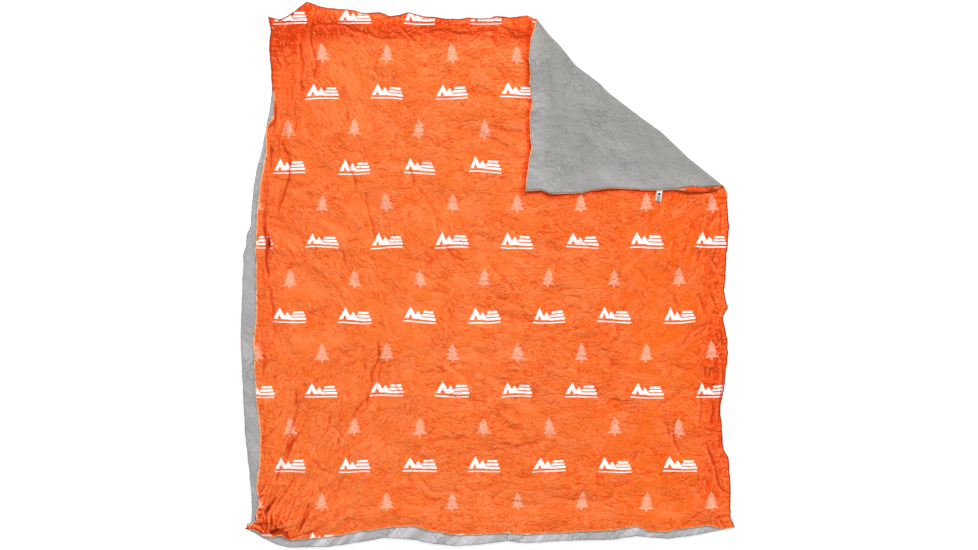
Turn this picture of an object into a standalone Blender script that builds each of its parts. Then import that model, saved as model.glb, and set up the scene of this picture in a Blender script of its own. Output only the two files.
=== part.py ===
"""Two-layer emergency blanket, laid out on a flat surface with one corner turned over.

An orange face sheet and a grey back sheet are sewn round the edge. The back rolls a little way
over the face at the left and the bottom, and a short tape with a press stud comes out of the
seam of the turned corner. Metres, +Z up, +Y towards the blanket's top edge.
"""

import math
from collections import namedtuple

import bmesh
import bpy
import numpy as np
from mathutils import Matrix, Vector

CM = 0.01
MM = 0.001

# The cloth.
CLOTH = 1.2 * MM
CLEARANCE = 0.5 * MM
SEAM_STEP = 2.2 * MM  # from the middle of one layer to the middle of the other, at a seam
LAYER_STEP = 3 * MM  # the same, away from the seams
SEAM_INSET = 4 * MM  # the back stops this far inside the face at the top and the right
EDGE_EASE = 60 * MM  # over this width the layers draw together towards a seam

# The turned corner.
TURN_RADIUS = 6 * MM
TURN_STEPS = 4
TURN_FADE = 200 * MM  # how far the bend's bowed line pulls the cloth beside it
TURN_EASE = 70 * MM
FLAP_LIFT = 2 * MM
UNDER_EASE = 80 * MM

# The roll of the back sheet over the left and bottom edges.
ROLL_RADIUS = 1.8 * MM
ROLL_GROWTH = 0.11
ROLL_FULL = 30 * MM
ROLL_LAP = 7 * MM
ROLL_ANGLES = (60, 120, 180)
ROLL_EASE = 90 * MM

# How high the face stands off the back, before its folds are pressed in.
PUFF = 7.5 * MM
PUFF_LEAST = 0.4 * MM

# The grid lines of the two sheets, as (share of the side, number of cells).
FACE_COLUMNS = ((0.009, 1), (0.59, 23), (0.99, 17), (1.0, 1))
FACE_ROWS = ((0.008, 1), (0.63, 28), (0.99, 17), (1.0, 1))
BACK_COLUMNS = ((0.59, 15), (0.99, 17), (1.0, 1))
BACK_ROWS = ((0.63, 19), (0.99, 17), (1.0, 1))

# The tab and its press stud.
TAB_X = 51.6 * CM
TAB_WIDTH = 17 * MM
TAB_LENGTH = 47 * MM
TAB_THICKNESS = 1.4 * MM
TAB_UNDER = 8 * MM  # the length that lies below the turned corner's edge
TAB_CORNER = 2 * MM
TAB_LEAN = -9  # degrees
TAB_HOLE = 5 * MM
STUD_FROM_EDGE = 17 * MM
STUD_WIDTH = 14 * MM
STUD_HEIGHT = 3 * MM
STUD_RECESS = 6.6 * MM
STUD_RECESS_DEPTH = 2 * MM
STUD_ROUND = 0.7 * MM
CAP_WIDTH = 11 * MM
CAP_HEIGHT = 0.8 * MM
SHANK_WIDTH = 4 * MM
FIT_GAP = 0.3 * MM
ROUND_STEPS = 24

# The outline as it lies, in centimetres from the middle of the whole. roll is how wide the
# rolled back shows there.
Stop = namedtuple("Stop", "x y roll", defaults=(0,))
LEFT_EDGE = (
    Stop(-72.9, -76.3),
    Stop(-71.1, -74.0, 0.1),
    Stop(-70.8, -69.5, 1.2),
    Stop(-71.8, -56.2, 3.3),
    Stop(-72.8, -47.9, 4.5),
    Stop(-73.3, -38.5, 3.8),
    Stop(-74.1, -21.1, 3.6),
    Stop(-73.5, -1.6, 3.9),
    Stop(-72.9, 10.3, 3.0),
    Stop(-71.2, 18.1, 1.8),
    Stop(-69.3, 31.9, 1.9),
    Stop(-67.5, 38.5, 0.8),
    Stop(-65.4, 51.1, 0.1),
    Stop(-65.1, 58.3),
    Stop(-66.0, 77.2),
)
BOTTOM_EDGE = (
    Stop(-72.9, -76.3),
    Stop(-67.8, -79.0, 0.6),
    Stop(-63.0, -81.1, 2.7),
    Stop(-48.9, -81.8, 2.6),
    Stop(-30.9, -79.0, 2.9),
    Stop(-22.8, -79.6, 3.9),
    Stop(-9.0, -81.5, 3.1),
    Stop(6.0, -80.0, 2.4),
    Stop(21.6, -80.0, 2.4),
    Stop(37.2, -79.6, 2.7),
    Stop(44.4, -78.5, 2.9),
    Stop(48.6, -78.9, 1.5),
    Stop(54.3, -79.3, 2.1),
    Stop(66.0, -77.5, 2.1),
    Stop(70.2, -76.8, 0.3),
    Stop(74.1, -76.0),
)
TOP_EDGE = (
    Stop(-66.0, 77.2),
    Stop(-62.4, 77.0),
    Stop(-54.3, 81.9),
    Stop(-50.4, 80.4),
    Stop(-36.6, 78.5),
    Stop(-29.1, 77.5),
    Stop(-23.7, 78.6),
    Stop(-9.6, 76.5),
    Stop(2.4, 77.5),
    Stop(14.4, 77.0),
)
RIGHT_EDGE = (
    Stop(74.1, -76.0),
    Stop(72.9, -73.0),
    Stop(72.9, -58.0),
    Stop(70.8, -52.6),
    Stop(69.9, -40.0),
    Stop(72.0, -20.2),
    Stop(70.5, -13.0),
    Stop(72.0, -10.0),
    Stop(71.4, -1.1),
    Stop(72.6, 13.9),
    Stop(71.4, 25.9),
)

# The turned corner's two free edges as they lie on the face, from the bend's ends to the tip.
FLAP_SIDE = (
    Stop(13.2, 71.0),
    Stop(12.6, 65.0),
    Stop(13.0, 60.4),
    Stop(13.2, 51.1),
    Stop(12.6, 40.9),
    Stop(13.2, 38.2),
    Stop(11.1, 24.8),
)
FLAP_FOOT = (
    Stop(11.1, 24.8),
    Stop(15.6, 25.3),
    Stop(19.5, 24.0),
    Stop(30.9, 25.2),
    Stop(48.6, 25.3),
    Stop(60.6, 26.7),
)

# How far the bend is bowed in from the straight line between its two ends.
Bow = namedtuple("Bow", "along inward")
TURN_BOW = (
    Bow(0, 0),
    Bow(6.7, 1.2),
    Bow(11, 1.4),
    Bow(18.5, 2.7),
    Bow(27.5, 1.9),
    Bow(31, 2.2),
    Bow(43, 1.3),
    Bow(51, 0.4),
    Bow(62, 0.8),
    Bow(76.5, 0),
)

# The main folds: the trough's two ends in centimetres, its depth and half width in millimetres.
Fold = namedtuple("Fold", "x0 y0 x1 y1 depth width")
FACE_FOLDS = (
    Fold(-63.9, 52.4, -65.4, 31.9, 9, 20),
    Fold(-67.2, 22.9, -66.0, -0.1, 10, 22),
    Fold(-65.7, -1.6, -63.9, -19.1, 9, 22),
    Fold(-58.5, 54.8, -60.9, 37.9, 8, 20),
    Fold(-60.6, 37.4, -62.4, 18.8, 8, 22),
    Fold(-53.1, 72.1, -51.9, 59.5, 8, 22),
    Fold(-48.9, 68.5, -41.4, 58.3, 6, 24),
    Fold(-43.2, 57.1, -42.9, 43.4, 8, 22),
    Fold(-42.9, 74.2, -24.6, 71.5, 6, 22),
    Fold(-12.6, 73.0, 3.6, 69.8, 8, 24),
    Fold(-42.3, 34.9, -39.0, 25.9, 8, 22),
    Fold(-37.8, 23.6, -33.6, 9.2, 10, 26),
    Fold(-26.7, 51.8, -17.4, 22.9, 8, 24),
    Fold(-17.4, 22.9, -2.4, -2.2, 10, 26),
    Fold(-44.4, 8.5, -40.8, -0.4, 6, 22),
    Fold(-57.3, 12.8, -54.6, 5.5, 6, 22),
    Fold(-3.0, -2.9, 13.2, -17.2, 9, 24),
    Fold(-2.4, -16.6, 9.0, -24.4, 6, 22),
    Fold(15.9, -4.6, 28.2, -22.6, 6, 26),
    Fold(-32.4, -18.1, -35.4, -36.4, 10, 24),
    Fold(-35.4, -36.4, -40.8, -44.5, 9, 22),
    Fold(-57.3, -35.9, -59.1, -47.2, 9, 22),
    Fold(-59.1, -47.2, -63.3, -62.5, 10, 24),
    Fold(-52.2, -43.0, -60.0, -54.1, 8, 22),
    Fold(-46.5, -43.6, -50.4, -51.4, 6, 22),
    Fold(-46.8, -65.0, -57.0, -77.0, 8, 24),
    Fold(-44.4, -73.6, -15.0, -74.0, 6, 24),
    Fold(17.1, -29.2, 19.2, -41.2, 6, 22),
    Fold(21.6, -66.8, 43.2, -68.0, 6, 26),
    Fold(53.1, 3.8, 63.6, -4.6, 8, 24),
    Fold(59.7, -19.6, 67.5, -14.2, 9, 22),
    Fold(63.6, -50.2, 70.0, -62.5, 9, 24),
)
FLAP_FOLDS = (
    Fold(19.2, 64.4, 19.2, 48.0, 6, 24),
    Fold(26.7, 60.8, 22.2, 52.4, 5, 22),
    Fold(17.9, 37.4, 17.7, 31.4, 5, 24),
    Fold(27.6, 37.4, 29.0, 29.0, 5, 26),
    Fold(44.0, 38.0, 56.0, 30.5, 5, 28),
)

# The cloth's broad swells: how high, how long from crest to crest, which way and where they start.
Swell = namedtuple("Swell", "height length heading start")
SWELLS = (
    Swell(1.6, 210, 28, 0.4),
    Swell(1.3, 160, 96, 1.9),
    Swell(1.2, 125, 151, 4.1),
    Swell(0.9, 105, 62, 2.7),
)

ORANGE = (0.95, 0.18, 0.04, 1)
GREY = (0.37, 0.365, 0.35, 1)
TAPE_GREY = (0.42, 0.41, 0.38, 1)
STUD_GREY = (0.62, 0.62, 0.60, 1)


def clear_scene():
    for item in list(bpy.data.objects):
        bpy.data.objects.remove(item, do_unlink=True)


def ease(share):
    share = min(max(share, 0), 1)
    return share * share * (3 - 2 * share)


def reader(table, along, value):
    """A function that reads one column of a table of centimetres at any place along another."""
    rows = sorted(table, key=lambda row: getattr(row, along))
    places = [getattr(row, along) * CM for row in rows]
    values = [getattr(row, value) * CM for row in rows]
    return lambda at: float(np.interp(at, places, values))


# The bend's own frame: along it, and out from it towards the corner that is turned over.
BEND_START = Vector((TOP_EDGE[-1].x, TOP_EDGE[-1].y)) * CM
BEND_END = Vector((RIGHT_EDGE[-1].x, RIGHT_EDGE[-1].y)) * CM
ALONG = (BEND_END - BEND_START).normalized()
OUT = Vector((-ALONG.y, ALONG.x))
AXIS = BEND_START - OUT * TURN_RADIUS
HALF_TURN = math.pi * TURN_RADIUS
inward_bow = reader(TURN_BOW, "along", "inward")


def from_bend(x, y):
    place = Vector((x, y)) - AXIS
    return place.dot(ALONG), place.dot(OUT)


def at_bend(along, out):
    return AXIS + ALONG * along + OUT * out


def bow_shift(along, out):
    return inward_bow(along) * (1 - ease(abs(out) / TURN_FADE))


def opened(stop):
    """A point of the turned corner, where it would lie with the corner opened out flat."""
    along, out = from_bend(stop.x * CM, stop.y * CM)
    place = at_bend(along, HALF_TURN - out) / CM
    return Stop(place.x, place.y)


top_side = TOP_EDGE + tuple(opened(stop) for stop in FLAP_SIDE)
right_side = RIGHT_EDGE + tuple(opened(stop) for stop in FLAP_FOOT)
left_x = reader(LEFT_EDGE, "y", "x")
left_roll = reader(LEFT_EDGE, "y", "roll")
bottom_y = reader(BOTTOM_EDGE, "x", "y")
bottom_roll = reader(BOTTOM_EDGE, "x", "roll")
top_y = reader(top_side, "x", "y")
right_x = reader(right_side, "y", "x")
flap_side_x = reader(FLAP_SIDE, "y", "x")
flap_foot_y = reader(FLAP_FOOT, "x", "y")


def roll_radius(roll):
    return ROLL_RADIUS + ROLL_GROWTH * min(roll, ROLL_FULL)


def trough(fold, x, y):
    """How deep one fold presses the cloth at a place."""
    start = Vector((fold.x0, fold.y0)) * CM
    run = Vector((fold.x1, fold.y1)) * CM - start
    share = min(max((Vector((x, y)) - start).dot(run) / run.length_squared, 0), 1)
    away = (Vector((x, y)) - start - run * share).length
    return fold.depth * MM * math.exp(-((away / (fold.width * MM)) ** 2))


def swell(x, y):
    total = 0
    for row in SWELLS:
        heading = math.radians(row.heading)
        run = x * math.cos(heading) + y * math.sin(heading)
        total += row.height * MM * math.sin(math.tau * run / (row.length * MM) + row.start)
    return total


def edge_distance(x, y):
    return min(
        x - left_x(y) - left_roll(y),
        y - bottom_y(x) - bottom_roll(x),
        top_y(x) - y,
        right_x(y) - x,
    )


def under_flap(x, y):
    """From 0 outside the turned corner to 1 well under it."""
    inside = min(x - flap_side_x(y), y - flap_foot_y(x))
    return ease(inside / UNDER_EASE)


def puff(x, y):
    """How far the face stands off the back, with its folds pressed in."""
    out = from_bend(x, y)[1]
    high = PUFF + swell(x, y) - sum(trough(fold, x, y) for fold in FACE_FOLDS)
    fade = ease(edge_distance(x, y) / EDGE_EASE) * ease(-out / TURN_EASE) * (1 - under_flap(x, y))
    return fade * max(high, PUFF_LEAST)


def rise_over_roll(x, y):
    """How far the rolled back lifts the face near the left and bottom seams."""
    sides = (
        (x - left_x(y), left_roll(y)),
        (y - bottom_y(x), bottom_roll(x)),
    )
    rises = [0]
    for inward, roll in sides:
        past = (inward - roll - ROLL_LAP) / ROLL_EASE
        rises.append(2 * roll_radius(roll) * (1 - ease(past)))
    return max(rises)


def face_height(x, y):
    step = SEAM_STEP + (LAYER_STEP - SEAM_STEP) * ease(edge_distance(x, y) / EDGE_EASE)
    if from_bend(x, y)[1] > 0:
        return CLOTH / 2 + step
    return CLOTH / 2 + step + rise_over_roll(x, y) + puff(x, y)


def flap_lift(x, y, past):
    """How far the turned corner stands off its lowest place, over the face's own folds."""
    own = FLAP_LIFT + swell(x, y) - sum(trough(fold, x, y) for fold in FLAP_FOLDS)
    return puff(x, y) + ease(past / TURN_EASE) * max(own, 0)


def lie(x, y, height):
    """Where a point of the flat sheet lies once the corner is turned over."""
    along, out = from_bend(x, y)
    across = out
    up = height
    if out >= HALF_TURN:
        across = HALF_TURN - out
        landing = at_bend(along, across)
        up = 2 * TURN_RADIUS - height + flap_lift(landing.x, landing.y, -across)
    elif out > 0:
        angle = out / TURN_RADIUS
        across = (TURN_RADIUS - height) * math.sin(angle)
        up = TURN_RADIUS - (TURN_RADIUS - height) * math.cos(angle)
    place = at_bend(along, across - bow_shift(along, across))
    return Vector((place.x, place.y, up))


Outline = namedtuple("Outline", "left bottom top right")
face_outline = Outline(
    lambda y: left_x(y) + left_roll(y),
    lambda x: bottom_y(x) + bottom_roll(x),
    top_y,
    right_x,
)
back_outline = Outline(
    lambda y: left_x(y) + roll_radius(left_roll(y)),
    lambda x: bottom_y(x) + roll_radius(bottom_roll(x)),
    lambda x: top_y(x) - SEAM_INSET,
    lambda y: right_x(y) - SEAM_INSET,
)


def corner(side, level, start):
    """Where an upright edge and a level edge cross, found from a first guess at their height."""
    y = start
    for _ in range(6):
        x = side(y)
        y = level(x)
    return Vector((x, y))


def plan_of(outline):
    """A function from shares (across, up) of a sheet to its place in the flat plan."""
    low_left = corner(outline.left, outline.bottom, LEFT_EDGE[0].y * CM)
    low_right = corner(outline.right, outline.bottom, RIGHT_EDGE[0].y * CM)
    top_left = corner(outline.left, outline.top, LEFT_EDGE[-1].y * CM)
    top_right = corner(outline.right, outline.top, opened(FLAP_SIDE[-1]).y * CM)

    def place(u, v):
        low_x = low_left.x + (low_right.x - low_left.x) * u
        high_x = top_left.x + (top_right.x - top_left.x) * u
        left_height = low_left.y + (top_left.y - low_left.y) * v
        right_height = low_right.y + (top_right.y - low_right.y) * v
        low = Vector((low_x, outline.bottom(low_x)))
        high = Vector((high_x, outline.top(high_x)))
        left = Vector((outline.left(left_height), left_height))
        right = Vector((outline.right(right_height), right_height))
        corners = (low_left * (1 - u) + low_right * u) * (1 - v)
        corners += (top_left * (1 - u) + top_right * u) * v
        return low * (1 - v) + high * v + left * (1 - u) + right * u - corners

    return place


def stations(spacing):
    """Shares from 0 to 1, from rows of (where a stretch ends, how many cells it has)."""
    shares = [0.0]
    for end, cells in spacing:
        shares += list(np.linspace(shares[-1], end, cells + 1)[1:])
    return shares


def make_material(name, colour, roughness, metallic=0):
    material = bpy.data.materials.new(name)
    material.use_nodes = True
    shader = material.node_tree.nodes["Principled BSDF"]
    shader.inputs["Base Color"].default_value = colour
    shader.inputs["Roughness"].default_value = roughness
    shader.inputs["Metallic"].default_value = metallic
    return material


def add_object(name, mesh_maker, material):
    """An object from a bmesh, which is freed."""
    mesh = bpy.data.meshes.new(name)
    mesh_maker.to_mesh(mesh)
    mesh_maker.free()
    mesh.shade_smooth()
    mesh.materials.append(material)
    item = bpy.data.objects.new(name, mesh)
    bpy.context.scene.collection.objects.link(item)
    return item


def flat_grid(outline, columns, rows):
    """A flat sheet of the outline, cut along the bend.

    Its vertices down the left side and then along the bottom are numbered from 1 in "stop".
    """
    across = stations(columns)
    up = stations(rows)
    last_column = len(across) - 1
    last_row = len(up) - 1
    place = plan_of(outline)
    grid = bmesh.new()
    stop = grid.verts.layers.int.new("stop")
    bmesh.ops.create_grid(grid, x_segments=last_column, y_segments=last_row, size=1)
    for vert in grid.verts:
        column = round((vert.co.x + 1) / 2 * last_column)
        row = round((vert.co.y + 1) / 2 * last_row)
        if column == 0:
            vert[stop] = 1 + last_row - row
        elif row == 0:
            vert[stop] = 1 + last_row + column
        flat = place(across[column], up[row])
        vert.co = (flat.x, flat.y, 0)
    for step in range(TURN_STEPS + 1):
        cut = at_bend(0, HALF_TURN * step / TURN_STEPS)
        bmesh.ops.bisect_plane(
            grid,
            geom=grid.verts[:] + grid.edges[:] + grid.faces[:],
            plane_co=(cut.x, cut.y, 0),
            plane_no=(OUT.x, OUT.y, 0),
            dist=1e-5,
        )
    return grid


def thicken(item):
    """The sheet gets its thickness, half to each side."""
    shell = item.modifiers.new("thickness", "SOLIDIFY")
    shell.thickness = CLOTH
    shell.offset = 0
    return item


def roll_over(grid, rows):
    """Rolls a sheet's left and bottom edges up and over the sheet."""
    stop = grid.verts.layers.int["stop"]
    chain = sorted((vert for vert in grid.verts if vert[stop]), key=lambda vert: vert[stop])
    corner_stop = len(stations(rows))
    facts = {}
    for vert in chain:
        x, y = vert.co.x, vert.co.y
        at_left = vert[stop] <= corner_stop
        at_bottom = vert[stop] >= corner_stop
        start_x = left_x(y) if at_left else x
        start_y = bottom_y(x) if at_bottom else y
        roll = left_roll(y) if at_left else bottom_roll(x)
        facts[vert[stop]] = (start_x, start_y, at_left, at_bottom, roll)
    edges = [grid.edges.get(pair) for pair in zip(chain, chain[1:])]
    sections = [roll_section(math.radians(degrees)) for degrees in ROLL_ANGLES] + [roll_end]
    for section in sections:
        made = bmesh.ops.extrude_edge_only(grid, edges=edges)["geom"]
        fresh = {part for part in made if isinstance(part, bmesh.types.BMVert)}
        edges = [part for part in made if isinstance(part, bmesh.types.BMEdge)]
        edges = [edge for edge in edges if set(edge.verts) <= fresh]
        for vert in fresh:
            start_x, start_y, at_left, at_bottom, roll = facts[vert[stop]]
            inward, up = section(roll)
            vert.co = (start_x + inward * at_left, start_y + inward * at_bottom, up)


def roll_section(angle):
    """A function from the roll's width to where its round part is at an angle, inward and up."""

    def place(roll):
        radius = roll_radius(roll)
        return radius * (1 - math.sin(angle)), CLOTH / 2 + radius * (1 - math.cos(angle))

    return place


def roll_end(roll):
    return roll + ROLL_LAP, CLOTH / 2 + 2 * roll_radius(roll)


def face_sheet(material):
    grid = flat_grid(face_outline, FACE_COLUMNS, FACE_ROWS)
    for vert in grid.verts:
        vert.co = lie(vert.co.x, vert.co.y, face_height(vert.co.x, vert.co.y))
    bmesh.ops.triangulate(grid, faces=grid.faces[:])
    return thicken(add_object("face_sheet", grid, material))


def back_sheet(material):
    grid = flat_grid(back_outline, BACK_COLUMNS, BACK_ROWS)
    for vert in grid.verts:
        vert.co = lie(vert.co.x, vert.co.y, CLOTH / 2)
    roll_over(grid, BACK_ROWS)
    bmesh.ops.triangulate(grid, faces=grid.faces[:])
    return thicken(add_object("back_sheet", grid, material))


def turned_shape(profile):
    """A round solid from the (radius, height) points of its section."""
    shape = bmesh.new()
    points = [shape.verts.new((radius, 0, height)) for radius, height in profile]
    edges = [shape.edges.new(pair) for pair in zip(points, points[1:])]
    bmesh.ops.spin(
        shape,
        geom=points + edges,
        cent=(0, 0, 0),
        axis=(0, 0, 1),
        angle=math.tau,
        steps=ROUND_STEPS,
        use_merge=True,
    )
    bmesh.ops.remove_doubles(shape, verts=shape.verts[:], dist=1e-6)
    bmesh.ops.recalc_face_normals(shape, faces=shape.faces[:])
    return shape


def snap_tab(material, carrier):
    """The tape, from below the corner's edge at y = 0 down to its free end."""
    shape = bmesh.new()
    bmesh.ops.create_cube(shape, size=1)
    bmesh.ops.scale(shape, vec=(TAB_WIDTH, TAB_LENGTH, TAB_THICKNESS), verts=shape.verts[:])
    bmesh.ops.translate(shape, vec=(0, TAB_UNDER - TAB_LENGTH / 2, 0), verts=shape.verts[:])
    free_corners = [
        edge
        for edge in shape.edges
        if edge.verts[0].co.y < 0
        and edge.verts[0].co.xy == edge.verts[1].co.xy
    ]
    bmesh.ops.bevel(
        shape,
        geom=free_corners,
        affect="EDGES",
        offset=TAB_CORNER,
        segments=3,
        profile=0.5,
        material=-1,
    )
    tab = add_object("snap_tab", shape, material)
    tab.data.set_sharp_from_angle(angle=math.radians(40))
    tab.parent = carrier

    punch = bmesh.new()
    bmesh.ops.create_cone(
        punch,
        cap_ends=True,
        segments=ROUND_STEPS,
        radius1=TAB_HOLE / 2,
        radius2=TAB_HOLE / 2,
        depth=4 * TAB_THICKNESS,
    )
    cutter = add_object("tab_hole_cutter", punch, material)
    cutter.hide_render = True
    cutter.display_type = "WIRE"
    cutter.parent = carrier
    cutter.location = (0, -STUD_FROM_EDGE, 0)
    hole = tab.modifiers.new("hole", "BOOLEAN")
    hole.operation = "DIFFERENCE"
    hole.object = cutter
    return tab


def stud_socket(material, carrier):
    outer = STUD_WIDTH / 2
    inner = STUD_RECESS / 2
    floor = STUD_HEIGHT - STUD_RECESS_DEPTH
    profile = (
        (0, floor),
        (inner, floor),
        (inner, STUD_HEIGHT - STUD_ROUND),
        (inner + STUD_ROUND, STUD_HEIGHT),
        (outer - 2 * STUD_ROUND, STUD_HEIGHT),
        (outer - STUD_ROUND / 2, STUD_HEIGHT - STUD_ROUND),
        (outer, STUD_ROUND),
        (outer - STUD_ROUND, 0),
        (0, 0),
    )
    socket = add_object("stud_socket", turned_shape(profile), material)
    socket.data.set_sharp_from_angle(angle=math.radians(40))
    socket.parent = carrier
    socket.location = (0, -STUD_FROM_EDGE, TAB_THICKNESS / 2 + FIT_GAP)
    return socket


def stud_cap(material, carrier):
    outer = CAP_WIDTH / 2
    shank = SHANK_WIDTH / 2
    top = CAP_HEIGHT + FIT_GAP + TAB_THICKNESS
    profile = (
        (0, top),
        (shank, top),
        (shank, CAP_HEIGHT),
        (outer, CAP_HEIGHT),
        (outer, CAP_HEIGHT / 3),
        (outer - CAP_HEIGHT / 2, 0),
        (0, 0),
    )
    cap = add_object("stud_cap", turned_shape(profile), material)
    cap.data.set_sharp_from_angle(angle=math.radians(40))
    cap.parent = carrier
    cap.location = (0, -STUD_FROM_EDGE, -TAB_THICKNESS / 2 - FIT_GAP - CAP_HEIGHT)
    return cap


def tab_carrier():
    """An empty at the corner's edge, tilted so that the tab runs from the seam down to the face."""
    edge_y = flap_foot_y(TAB_X)
    edge = opened(Stop(TAB_X / CM, edge_y / CM))
    seam = lie(edge.x * CM, edge.y * CM, face_height(edge.x * CM, edge.y * CM))
    lean = math.radians(TAB_LEAN)
    end_run = TAB_LENGTH - TAB_UNDER
    end_x = TAB_X + end_run * math.sin(lean)
    end_y = edge_y - end_run * math.cos(lean)
    seam_up = seam.z - CLOTH / 2 - CLEARANCE - TAB_THICKNESS / 2
    end_up = face_height(end_x, end_y) + CLOTH / 2 + CLEARANCE + TAB_THICKNESS / 2
    carrier = bpy.data.objects.new("tab_carrier", None)
    bpy.context.scene.collection.objects.link(carrier)
    carrier.matrix_world = (
        Matrix.Translation((TAB_X, edge_y, seam_up))
        @ Matrix.Rotation(lean, 4, "Z")
        @ Matrix.Rotation(math.atan2(seam_up - end_up, end_run), 4, "X")
    )
    return carrier


def centre(items):
    """Moves everything so that the origin lies below the middle of the whole."""
    bpy.context.view_layer.update()
    graph = bpy.context.evaluated_depsgraph_get()
    corners = []
    for item in items:
        box = item.evaluated_get(graph).bound_box
        corners += [item.matrix_world @ Vector(place) for place in box]
    spans = ([place[axis] for place in corners] for axis in range(2))
    middle = [(min(span) + max(span)) / 2 for span in spans]
    for item in bpy.data.objects:
        if item.parent is None:
            item.location -= Vector((*middle, 0))


def main():
    clear_scene()
    face = face_sheet(make_material("face_cloth", ORANGE, 0.7))
    back = back_sheet(make_material("back_cloth", GREY, 0.45, 0.2))
    carrier = tab_carrier()
    snap_tab(make_material("tab_tape", TAPE_GREY, 0.8), carrier)
    metal = make_material("stud_metal", STUD_GREY, 0.35, 0.9)
    stud_socket(metal, carrier)
    stud_cap(metal, carrier)
    centre((face, back))


main()
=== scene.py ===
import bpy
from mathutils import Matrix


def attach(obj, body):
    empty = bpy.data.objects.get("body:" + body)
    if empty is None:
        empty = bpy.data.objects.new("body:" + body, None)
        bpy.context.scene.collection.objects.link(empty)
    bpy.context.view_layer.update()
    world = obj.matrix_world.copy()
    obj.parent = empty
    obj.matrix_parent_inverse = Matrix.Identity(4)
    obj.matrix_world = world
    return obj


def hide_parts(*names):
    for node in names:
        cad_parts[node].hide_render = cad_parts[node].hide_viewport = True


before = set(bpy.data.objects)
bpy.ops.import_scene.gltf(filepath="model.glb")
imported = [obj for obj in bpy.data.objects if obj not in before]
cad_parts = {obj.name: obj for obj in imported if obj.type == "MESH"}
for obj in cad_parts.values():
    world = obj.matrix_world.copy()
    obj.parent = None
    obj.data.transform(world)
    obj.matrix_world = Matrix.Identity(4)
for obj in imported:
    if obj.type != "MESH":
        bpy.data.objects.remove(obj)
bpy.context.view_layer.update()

import math
from functools import partial, reduce

import bmesh
import bpy
import numpy as np
from mathutils import Matrix, Vector

cm = 0.01
mm = 0.001
scene = bpy.context.scene
scene.view_settings.view_transform = "Standard"
chance = np.random.default_rng(41)

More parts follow.
